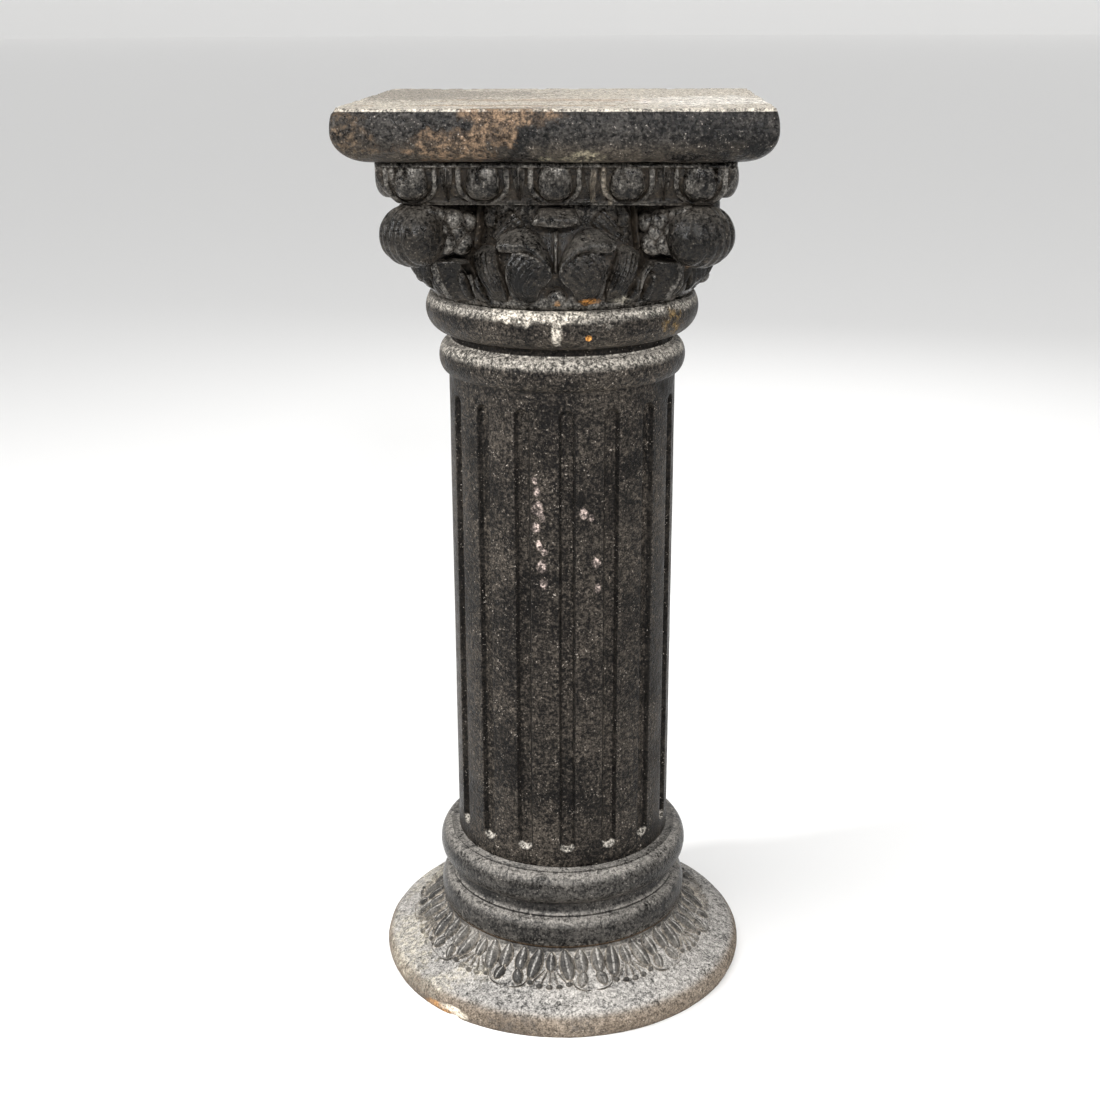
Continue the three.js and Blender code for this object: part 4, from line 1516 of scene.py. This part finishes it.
    def side_ornament(self) -> bpy.types.Object:
        """Build the leaves and the bud of one side and of the corner to its right.

        Returns:
            The mesh object.
        """
        shell = Shell()
        for lobe in self.half_side_lobes():
            lobe.lay(shell, self.on_bell)
            lobe.mirrored().lay(shell, self.on_bell)
        for lobe in self.middle_lobes():
            lobe.lay(shell, self.on_bell)
        self.ball(shell, self.on_bell(np.array([[0.3, 0.0110, 0.0022]]))[0], 0.0070)
        return shell.object("side_ornament")

    def ball(self, shell: Shell, centre: Array, radius: float) -> None:
        """Add a ball to a shell."""
        turns = np.radians(np.linspace(-82, 82, 9))
        profile = np.stack([radius * np.cos(turns), radius * np.sin(turns)], axis=1)
        shell.loft(turned(profile, 15) + centre)

    def volute(self, shell: Shell, flip: int) -> None:
        """Add a front corner's volute: a fat roll with round ends, ribbed round its middle.

        Args:
            shell: the shell.
            flip: 1 for the right corner, -1 for the left one.
        """
        half = self.volute_width / 2
        centre = np.array([0.0, -self.volute_reach, self.plate_floor() - self.volute_drop])
        turns = np.linspace(-math.pi / 2, math.pi / 2, 55)[1:-1]
        along = half * np.sin(turns)
        girth = self.volute_radius * np.cos(turns) ** 0.66
        ribbed = 1 - smooth_step((np.abs(along) - self.volute_rib_reach) / 0.004)
        ribs = 1 - np.abs(np.sin(math.pi * (along / self.volute_rib_pitch + 0.5))) ** 0.8
        barrel = turned(np.stack([girth - self.volute_rib_sink * ribbed * ribs, along], axis=1), 54)
        shell.loft(self.to_corner(barrel[:, :, [2, 0, 1]] + centre, flip))
        for end in (-1, 1):
            self.berries(shell, centre, end, flip)
        self.stem(shell, centre, flip)

    def to_corner(self, points: Array, flip: int) -> Array:
        """Turn points from the front's middle to the corner on its right, or mirror that to the left."""
        cos = sin = math.sqrt(0.5)
        turned_points = points @ np.array([[cos, sin, 0.0], [-sin, cos, 0.0], [0.0, 0.0, 1.0]])
        return turned_points * np.array([flip, 1.0, 1.0])

    def berries(self, shell: Shell, centre: Array, end: int, flip: int) -> None:
        """Add the rough cluster between the bell and one end of a volute.

        Args:
            shell: the shell.
            centre: the volute's middle.
            end: -1 for the end towards the front, 1 for the other.
            flip: 1 for the right corner, -1 for the left one.
        """
        for reach, rise, radius in self.cluster:
            spot = np.array([end * (self.stem_width / 2 - 0.0025), -reach, centre[2] + rise])
            self.ball(shell, self.to_corner(spot, flip), radius)

    def stem(self, shell: Shell, centre: Array, flip: int) -> None:
        """Add the stem that joins the bell to a volute, up to the plate.

        Args:
            shell: the shell.
            centre: the volute's middle.
            flip: 1 for the right corner, -1 for the left one.
        """
        half = self.stem_width / 2
        high = self.plate_floor() + 0.001
        root = self.bell_foot_radius - self.bell_swell
        rings = []
        for way in np.linspace(0.0, 1.0, 8):
            reach = root + (self.volute_reach - root) * way
            floor = centre[2] - 0.016 + 0.016 * way
            turns = np.linspace(0, 2 * math.pi, 24, endpoint=False)
            square = np.sign(np.cos(turns)) * np.abs(np.cos(turns)) ** 0.5
            tall = np.sign(np.sin(turns)) * np.abs(np.sin(turns)) ** 0.5
            rings.append(np.stack([
                square * half, np.full(24, -reach), (floor + high) / 2 + tall * (high - floor) / 2,
            ], axis=1))
        shell.loft(self.to_corner(np.stack(rings), flip))

    def build(self) -> None:
        """Build the capital and dress it."""
        material = self.finish.material()
        eggs = Repeat("egg_row", self.eggs_per_side, pitch=self.egg_pitch).of(self.egg_and_cup(), material)
        dart = self.dart(self.on_ovolo, self.dart_width)
        darts = Repeat("dart_row", self.eggs_per_side - 1, pitch=self.egg_pitch).of(dart, material)
        corner = self.dart(self.on_ovolo_corner, 2 * self.dart_width)
        side = joined("side", [eggs, darts, corner, self.side_ornament()])
        sides = round_axis("capital_sides", 4, 0.0).of(side, material)
        scrolls = Shell()
        for flip in (-1, 1):
            self.volute(scrolls, flip)
        volutes = round_axis("volutes", 2, 0.0).of(scrolls.object("volute_pair"), material)
        piece = joined("capital_dressed", [self.build_body(), sides, volutes])
        roughen(piece, 0.0007, 0.007, 21.0)
        mark_cavities(piece, 0.014, 9)
        mark_crests(piece, 4, 0.0007)
        self.dress(piece, material)


@dataclass
class SpreadingFoot(Casting):
    """The round foot with its band of leaves."""

    ground_inset: float = 0.003
    edge_height: float = 0.022
    edge_width: float = 0.010
    slope_height: float = 0.0095
    slope_width: float = 0.0185
    band_height: float = 0.015
    band_width: float = 0.021
    collar_flare: float = 0.0025
    collar_radius: float = 0.104
    repeats: int = 11
    band_turn: float = math.radians(-2.7)
    band_stretch: float = 1.36
    band_start: float = -0.0040
    chip_depth: float = 0.0018
    lobes: tuple[tuple[float, ...], ...] = (
        (0.0, 0.0, 0.0000, 0.0145, 0.0056, 0.0040), (5.2, 8.0, -0.0020, 0.0198, 0.0072, 0.0052),
        (12.6, 12.9, -0.0020, 0.0160, 0.0068, 0.0050), (13.6, 11.6, 0.0120, 0.0235, 0.0054, 0.0042),
    )

    def band_inner(self) -> float:
        """Give the radius where the leaf band starts under the collar."""
        return self.collar_radius + self.collar_flare

    def band_top(self) -> float:
        """Give the height of the leaf band's inner edge."""
        return self.edge_height + self.slope_height + self.band_height

    def profile(self) -> Array:
        """Trace the foot from the ground's middle to its top's middle."""
        outer = self.band_inner() + self.band_width
        shoulder = outer + self.slope_width
        widest = shoulder + self.edge_width
        way = np.linspace(0.0, 1.0, 18)[:, None]
        knots = np.array([
            [widest - self.ground_inset, 0.0], [widest + self.ground_inset / 2, self.edge_height / 3],
            [widest, self.edge_height * 0.75], [shoulder, self.edge_height],
        ])
        weights = [(1 - way) ** 3, 3 * way * (1 - way) ** 2, 3 * way ** 2 * (1 - way), way ** 3]
        edge = sum(weight * knot for weight, knot in zip(weights, knots))
        band_floor = self.edge_height + self.slope_height
        slope_way = np.linspace(0.0, 1.0, 10)[1:-1]
        slope = np.stack([
            shoulder + (outer - shoulder) * slope_way,
            self.edge_height + self.slope_height * slope_way - 0.0012 * np.sin(math.pi * slope_way),
        ], axis=1)
        return np.concatenate([
            line((0.02, 0.0), (widest - self.ground_inset, 0.0), 5),
            edge,
            slope,
            line((outer, band_floor), (self.band_inner(), self.band_top()), 14),
            line((self.band_inner(), self.band_top()), (self.collar_radius, self.top()), 5),
            line((self.collar_radius, self.top()), (0.012, self.top()), 5),
        ])

    def on_band(self, spots: Array) -> Array:
        """Place rows of angle in degrees, distance out along the band and lift on the band."""
        angle = np.radians(spots[:, 0] - 90.0)
        slant = math.hypot(self.band_width, self.band_height)
        lift_out, lift_up = self.band_height / slant, self.band_width / slant
        outer = self.band_inner() + self.band_width
        knots = np.array([
            (self.collar_radius, self.top()), (self.band_inner(), self.band_top()),
            (outer, self.edge_height + self.slope_height), (outer + self.slope_width, self.edge_height),
        ])
        runs = np.linalg.norm(np.diff(knots, axis=0), axis=1)
        along = np.cumsum(np.concatenate([[-runs[0]], runs]))
        out = spots[:, 1] * self.band_stretch + self.band_start
        radius = np.interp(out, along, knots[:, 0]) + lift_out * spots[:, 2]
        height = np.interp(out, along, knots[:, 1]) + lift_up * spots[:, 2]
        return np.stack([radius * np.cos(angle), radius * np.sin(angle), height], axis=1)

    def motif(self) -> bpy.types.Object:
        """Build one repeat of the band: fat lobes over a fan with beaded tips, and a cup beside it.

        Returns:
            The mesh object.
        """
        shell = Shell()
        plain = {"along": 12, "across": 8, "sunk": 0.003}
        half = 180.0 / self.repeats
        for root, tip, start, end, width, rise in self.lobes:
            for side in (-1, 1) if tip else (1,):
                Leaf(((side * root, start, 0.0), (side * (root + tip) / 2, (start + end) / 2, 0.001),
                      (side * tip, end, 0.0)), width, rise, groove=0.3 * rise, start_share=0.8, end_share=1.0,
                     **plain).lay(shell, self.on_band)
        for stroke in range(-2, 3):
            angle, reach = 3.6 * stroke, 0.0248 - 0.0005 * stroke * stroke
            Leaf(((angle * 0.25, 0.011, 0.0), (angle * 0.6, 0.017, 0.0008), (angle, reach - 0.002, 0.0)),
                 0.0015, 0.0030, start_share=0.9, end_share=1.0, **plain).lay(shell, self.on_band)
            Leaf(((angle, reach - 0.0040, 0.0), (angle * 1.02, reach - 0.0018, 0.0006),
                (angle * 1.04, reach, 0.0)),
                 0.0036, 0.0036, start_share=1.0, end_share=1.0, **plain).lay(shell, self.on_band)
        for side in (-1, 1):
            Leaf(((half + side * 7.6, 0.0140, 0.0), (half + side * 8.6, 0.0265, 0.0008), (half, 0.0252, 0.0)),
                 0.0014, 0.0028, start_share=0.9, end_share=1.0, **plain).lay(shell, self.on_band)
        return shell.object("band_motif")

    def chip(self, piece: bpy.types.Object) -> None:
        """Break the edge open where the paint has come off at the front left."""
        points = points_of(piece)
        place, size = np.array([-0.090, -0.128, 0.005]), np.array([0.018, 0.014, 0.006])
        away = np.linalg.norm((points - place) / size, axis=1) + 0.5 * cast_waves(points, 0.006, 51.0)
        dent = (1 - smooth_step((away - 0.55) / 0.45)) * self.chip_depth
        set_points(piece, points - normals_of(piece) * dent[:, None])

    def build(self) -> None:
        """Build the foot and dress it."""
        material = self.finish.material()
        shell = Shell()
        shell.loft(turned(self.profile(), 440))
        body = shell.object("foot_body")
        band = round_axis("leaf_band", self.repeats, self.band_turn).of(self.motif(), material)
        piece = joined("foot_dressed", [body, band])
        roughen(piece, 0.0009, 0.02, 31.0)
        self.chip(piece)
        self.set_on_ground(piece)
        mark_cavities(piece, 0.009, 10)
        mark_crests(piece, 5, 0.00035, self.band_inner() + self.band_width + 0.007)
        self.dress(piece, material)

    def set_on_ground(self, piece: bpy.types.Object) -> None:
        """Keep the underside level on the ground."""
        points = points_of(piece)
        points[:, 2] = np.where(points[:, 2] < 0.0012, 0.0, points[:, 2])
        set_points(piece, points)


# Studio


@dataclass
class Studio:
    """The plain floor, the soft lights and the camera at the photograph's angle."""

    camera_place: tuple[float, float, float] = (0.0501, -1.2691, 0.7864)
    heading: float = math.radians(2.72)
    pitch: float = math.radians(-18.37)
    roll: float = math.radians(-0.22)
    focal_pixels: float = 1619.0
    frame_pixels: float = 1100.0
    sensor: float = 36.0

    def camera(self) -> None:
        """Set up the camera."""
        data = bpy.data.cameras.new("photo_camera")
        data.sensor_width = self.sensor
        data.sensor_fit = "AUTO"
        data.lens = self.sensor * self.focal_pixels / self.frame_pixels
        data.clip_start = 0.01
        camera = bpy.data.objects.new("photo_camera", data)
        turn = Matrix.Rotation(self.heading, 4, "Z")
        tilt = Matrix.Rotation(math.pi / 2 + self.pitch, 4, "X")
        spin = Matrix.Rotation(self.roll, 4, "Z")
        camera.matrix_world = Matrix.Translation(self.camera_place) @ turn @ tilt @ spin
        bpy.context.scene.collection.objects.link(camera)
        bpy.context.scene.camera = camera

    def floor(self) -> None:
        """Lay the floor, round, with its far edge turned up."""
        turns = np.linspace(0, 2 * math.pi, 64, endpoint=False)
        rings = [
            np.column_stack([reach * np.cos(turns), reach * np.sin(turns), np.full(64, height)])
            for reach, height in ((3.0, 0.0), (60.0, 0.0), (75.0, 3.0), (85.0, 40.0))
        ]
        faces = [tuple(range(64))]
        for ring in range(3):
            for i in range(64):
                a, b = ring * 64 + i, ring * 64 + (i + 1) % 64
                faces.append((a, a + 64, b + 64, b))
        mesh = bpy.data.meshes.new("floor")
        mesh.from_pydata(np.concatenate(rings).tolist(), [], faces)
        floor = bpy.data.objects.new("floor", mesh)
        bpy.context.scene.collection.objects.link(floor)
        material = bpy.data.materials.new("pale_floor")
        material.use_nodes = True
        shader = material.node_tree.nodes["Principled BSDF"]
        shader.inputs["Base Color"].default_value = (0.86, 0.855, 0.845, 1.0)
        shader.inputs["Roughness"].default_value = 0.9
        mesh.materials.append(material)

    def area(self, name: str, place: Sequence[float], size: float, power: float) -> None:
        """Hang one soft light that looks at the column.

        Args:
            name: the light's name.
            place: where it hangs.
            size: its side.
            power: its strength in watts.
        """
        data = bpy.data.lights.new(name, "AREA")
        data.size = size
        data.energy = power
        light = bpy.data.objects.new(name, data)
        light.location = place
        aim = Vector((0.0, 0.0, 0.4)) - Vector(place)
        light.rotation_euler = aim.to_track_quat("-Z", "Y").to_euler()
        bpy.context.scene.collection.objects.link(light)

    def sky(self, strength: float, spread: float) -> None:
        """Add a broad even light from high at the front left, which reaches the whole floor."""
        data = bpy.data.lights.new("skylight", "SUN")
        data.energy = strength
        data.angle = math.radians(spread)
        light = bpy.data.objects.new("skylight", data)
        light.rotation_euler = Vector((0.35, 0.40, -1.0)).to_track_quat("-Z", "Y").to_euler()
        bpy.context.scene.collection.objects.link(light)

    def lights(self) -> None:
        """Light the studio."""
        self.area("key", (0.25, -2.0, 1.55), 0.22, 44.0)
        self.area("left", (-1.9, -0.8, 1.3), 0.30, 44.0)
        self.area("right", (1.7, -1.3, 1.2), 0.26, 16.0)
        self.area("back", (0.4, 2.2, 1.6), 1.2, 14.0)
        self.sky(1.9, 50.0)
        world = bpy.data.worlds.new("studio")
        world.use_nodes = True
        world.node_tree.nodes["Background"].inputs[0].default_value = (0.95, 0.97, 1.0, 1.0)
        world.node_tree.nodes["Background"].inputs[1].default_value = 0.16
        bpy.context.scene.world = world
        bpy.context.scene.view_settings.view_transform = "Standard"

    def build(self) -> None:
        """Set up the whole studio."""
        self.camera()
        self.floor()
        self.lights()
        LOG.info("studio ready")


TAN = (0.120, 0.080, 0.050)
BROWN = (0.060, 0.042, 0.027)
RUST = (0.34, 0.15, 0.035)
# pale chalky paint; along the slab's upper arris it is a painted highlight
CHALK_AND_HIGHLIGHT = (0.40, 0.365, 0.31)
CREAM = (0.72, 0.64, 0.52)
PALE = (0.34, 0.31, 0.25)


def slab_finish() -> WornPaint:
    """Describe the slab: pale dirty top, glossy black front with tan worn places at its left, and a pale
    broken line on its upper arris painted as a highlight.
    """
    return WornPaint(
        "slab_paint", dark=(0.0022, 0.0021, 0.0020), light=(0.026, 0.0235, 0.021),
        settled_dust=(0.50, 0.445, 0.375), settled_amount=1.0, settled_from=0.72, settled_full=0.93,
        swept=0.0, under_amount=0.6, under_dust=(0.055, 0.044, 0.032), crest_amount=0.5,
        gloss=0.16, dull=0.38, shine=0.14, grain_depth=0.0010, speckle=1.2,
        patches=(
            Patch((-0.140, -0.146, 0.704), (0.024, 0.02, 0.020), BROWN, 0.8, 1.0, 0.8),
            Patch((-0.070, -0.146, 0.700), (0.032, 0.02, 0.012), TAN, 0.8, 0.9, 0.7),
            Patch((-0.028, -0.150, 0.721), (0.036, 0.02, 0.007), TAN, 0.9, 0.9, 0.7),
            Patch((-0.040, -0.150, 0.714), (0.014, 0.02, 0.011), TAN, 0.9, 0.9, 0.7),
            Patch((0.018, -0.140, 0.692), (0.022, 0.02, 0.007), (0.17, 0.15, 0.105), 0.8, 1.0, 0.9),
            Patch((-0.120, 0.06, 0.727), (0.10, 0.10, 0.02), (0.14, 0.125, 0.105), 0.7, 1.1),
            Patch((-0.030, -0.110, 0.727), (0.09, 0.012, 0.02), (0.24, 0.155, 0.09), 0.6, 0.9),
            Patch((0.030, -0.040, 0.727), (0.11, 0.020, 0.02), (0.30, 0.20, 0.135), 0.55, 1.1),
            Patch((0.110, -0.050, 0.727), (0.05, 0.07, 0.02), (0.66, 0.63, 0.58), 0.8, 1.0),
        ),
        # Painted highlight: a pale broken chalky line along the upper arris of the sides, where light catches
        # the edge.
        tides=(Tide(0.7236, 0.7262, CHALK_AND_HIGHLIGHT, 0.75, 0.0006, 0.42),),
    )


def shaft_finish() -> WornPaint:
    """Describe the shaft: brownish black, with chips on one flat and a chalky upper ring."""
    chips = tuple(
        Patch((x, -0.088, z), (size, 0.012, 1.5 * size), (0.36, 0.29, 0.26), 0.85, 0.8, 0.8)
        for x, z, size in (
            (-0.0175, 0.449, 0.0022), (-0.0160, 0.440, 0.0028), (-0.0150, 0.428, 0.0040),
            (-0.0120, 0.420, 0.0022),
            (-0.0165, 0.412, 0.0030), (-0.0145, 0.399, 0.0034), (-0.0105, 0.392, 0.0024),
            (-0.0120, 0.381, 0.0036),
            (-0.0110, 0.366, 0.0032), (0.0200, 0.423, 0.0030), (0.0260, 0.419, 0.0020),
            (0.0300, 0.383, 0.0030),
            (0.0310, 0.362, 0.0024),
        )
    )
    return WornPaint(
        "shaft_paint", dark=(0.0040, 0.0033, 0.0027), light=(0.034, 0.0285, 0.023),
        settled_dust=(0.27, 0.25, 0.22),
        # Painted shade: the flutes' side walls are darkened to near black.
        settled_amount=0.9, settled_from=0.10, settled_full=0.45, cavity_amount=0.9,
        cavity_dust_and_shade=(0.0026, 0.0022, 0.0018), gloss=0.28, dull=0.56,
        speckle=1.5, grain_depth=0.0010, shine=0.10, crest_amount=0.15,
        patches=chips + (
            Patch((-0.036, -0.098, 0.577), (0.020, 0.02, 0.0065), CHALK_AND_HIGHLIGHT, 0.8, 0.9, 0.7),
            Patch((0.002, -0.106, 0.577), (0.024, 0.02, 0.0055), CHALK_AND_HIGHLIGHT, 0.8, 0.9, 0.7),
            Patch((0.000, -0.106, 0.566), (0.0042, 0.02, 0.010), CHALK_AND_HIGHLIGHT, 0.8, 0.5),
            Patch((0.033, -0.100, 0.575), (0.016, 0.02, 0.009), (0.13, 0.12, 0.105), 0.7, 1.0, 0.9),
            Patch((0.0235, -0.103, 0.561), (0.0024, 0.02, 0.0024), RUST, 1.0, 0.3, 0.2),
            Patch((0.085, -0.063, 0.565), (0.012, 0.02, 0.011), (0.10, 0.065, 0.025), 0.7, 1.1, 0.9),
        ),
    )


def capital_finish() -> WornPaint:
    """Describe the capital: glossy black, brown in the hollows, with pale runs and rust spots."""
    runs = (
        (0.0268, -0.125, 0.676), (0.0262, -0.122, 0.664), (0.0250, -0.120, 0.652), (0.0238, -0.118, 0.641),
        (0.0335, -0.125, 0.677), (0.0350, -0.121, 0.667), (0.0385, -0.118, 0.658), (0.0450, -0.113, 0.650),
        (0.0500, -0.110, 0.637),
    )
    return WornPaint(
        "capital_paint", dark=(0.0020, 0.0018, 0.0016), light=(0.016, 0.0135, 0.0108), gloss=0.15, dull=0.40,
        cavity_dust_and_shade=(0.016, 0.011, 0.0065), cavity_amount=0.7, settled_amount=0.22, fleck_amount=0.25,
        crest_wear=(0.17, 0.16, 0.145), crest_amount=0.5, crest_from=0.35, bare_metal=0.8,
        shine=0.15, speckle=1.0,
        grain_depth=0.0006,
        patches=tuple(
            Patch(place, (0.0024, 0.012, 0.0085), (0.13, 0.11, 0.085), 0.75, 0.5) for place in runs
        ) + (
            Patch((0.0734, -0.094, 0.6630), (0.0026, 0.010, 0.0052), RUST, 1.0, 0.3, 0.2),
            Patch((0.0240, -0.104, 0.5880), (0.0080, 0.010, 0.0032), RUST, 0.8, 0.7),
            Patch((0.0011, -0.106, 0.5880), (0.0035, 0.010, 0.0040), (0.30, 0.16, 0.06), 0.8, 0.6),
            Patch((0.0633, -0.102, 0.6219), (0.0026, 0.010, 0.0030), CHALK_AND_HIGHLIGHT, 1.0, 0.3, 0.2),
            Patch((0.0945, -0.085, 0.6120), (0.0022, 0.030, 0.0080), (0.26, 0.17, 0.10), 0.8, 0.4),
            Patch((0.0480, -0.103, 0.5870), (0.0080, 0.020, 0.0040), PALE, 0.5, 0.9, 0.9),
        ),
    )


def base_finish() -> WornPaint:
    """Describe the base mouldings: dark grey, dusty where they face up, rusty at the joint."""
    return WornPaint(
        "base_paint", dark=(0.006, 0.0054, 0.0048), light=(0.040, 0.0365, 0.0325),
        settled_dust=(0.23, 0.215, 0.195), settled_amount=0.75,
        settled_from=0.25, settled_full=0.9, swept=0.2, gloss=0.20, dull=0.46,
        speckle=0.9, grain_depth=0.0006,
        # Painted shade: the hollows, such as the scotia, are darkened.
        cavity_dust_and_shade=(0.010, 0.008, 0.006), shine=0.16, crest_wear=(0.12, 0.112, 0.10), crest_amount=0.5,
        bare_metal=0.6,
        tides=(Tide(0.0, 0.0535, (0.075, 0.045, 0.024), 0.85, 0.0015, 0.35),),
    )


def foot_finish() -> WornPaint:
    """Describe the foot: dusty grey, dark on the band's lobes, brownish at its rim, pale at its left."""
    return WornPaint(
        "foot_paint", dark=(0.036, 0.034, 0.032), light=(0.19, 0.175, 0.155),
        settled_dust=(0.33, 0.315, 0.295), settled_amount=0.7,
        settled_from=0.15, settled_full=0.9, swept=0.95, speckle=0.8, dull=0.8,
        gloss=0.45, shine=0.16,
        mottle=0.7,
        crest_wear=(0.014, 0.013, 0.012), crest_amount=0.95, cavity_dust_and_shade=(0.30, 0.265, 0.22),
        cavity_amount=0.85,
        patches=(
            Patch((-0.142, -0.060, 0.024), (0.030, 0.055, 0.02), PALE, 0.7, 1.1, 0.7),
            Patch((-0.105, -0.110, 0.028), (0.040, 0.012, 0.02), PALE, 0.7, 1.1, 0.7),
            Patch((-0.120, 0.060, 0.028), (0.035, 0.05, 0.02), PALE, 0.6, 1.1, 0.7),
            Patch((-0.112, -0.105, 0.010), (0.022, 0.03, 0.008), (0.06, 0.052, 0.044), 0.6, 1.1, 0.9),
            Patch((-0.032, -0.152, 0.010), (0.018, 0.02, 0.010), (0.05, 0.046, 0.042), 0.6, 1.1, 0.9),
            Patch((0.020, -0.153, 0.013), (0.012, 0.02, 0.008), (0.05, 0.046, 0.042), 0.6, 1.1, 0.9),
            Patch((-0.098, -0.120, 0.003), (0.020, 0.016, 0.0060), (0.36, 0.19, 0.075), 0.9, 0.6, 0.5),
            Patch((-0.087, -0.130, 0.006), (0.017, 0.014, 0.0050), CREAM, 1.0, 0.6, 0.3),
        ),
        tides=(Tide(-0.01, 0.0150, (0.16, 0.125, 0.092), 0.75, 0.006, 0.30),),
    )


def castings() -> list[Casting]:
    """List the column's castings with their finishes, from the ground up."""
    return [
        SpreadingFoot(Node.FOOT, Slot.FOOT, foot_finish()),
        BaseMouldings(Node.BASE, Slot.BASE, base_finish()),
        FlutedShaft(Node.SHAFT, Slot.SHAFT, shaft_finish()),
        Capital(Node.CAPITAL, Slot.CAPITAL, capital_finish()),
        TopSlab(Node.SLAB, Slot.SLAB, slab_finish()),
    ]


def main() -> None:
    """Dress the column, piece by piece from the ground up."""
    logging.basicConfig(level=logging.INFO, format="%(name)s: %(message)s")
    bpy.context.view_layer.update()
    Studio().build()
    for casting in castings():
        casting.build()


if __name__ == "__main__":
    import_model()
    main()
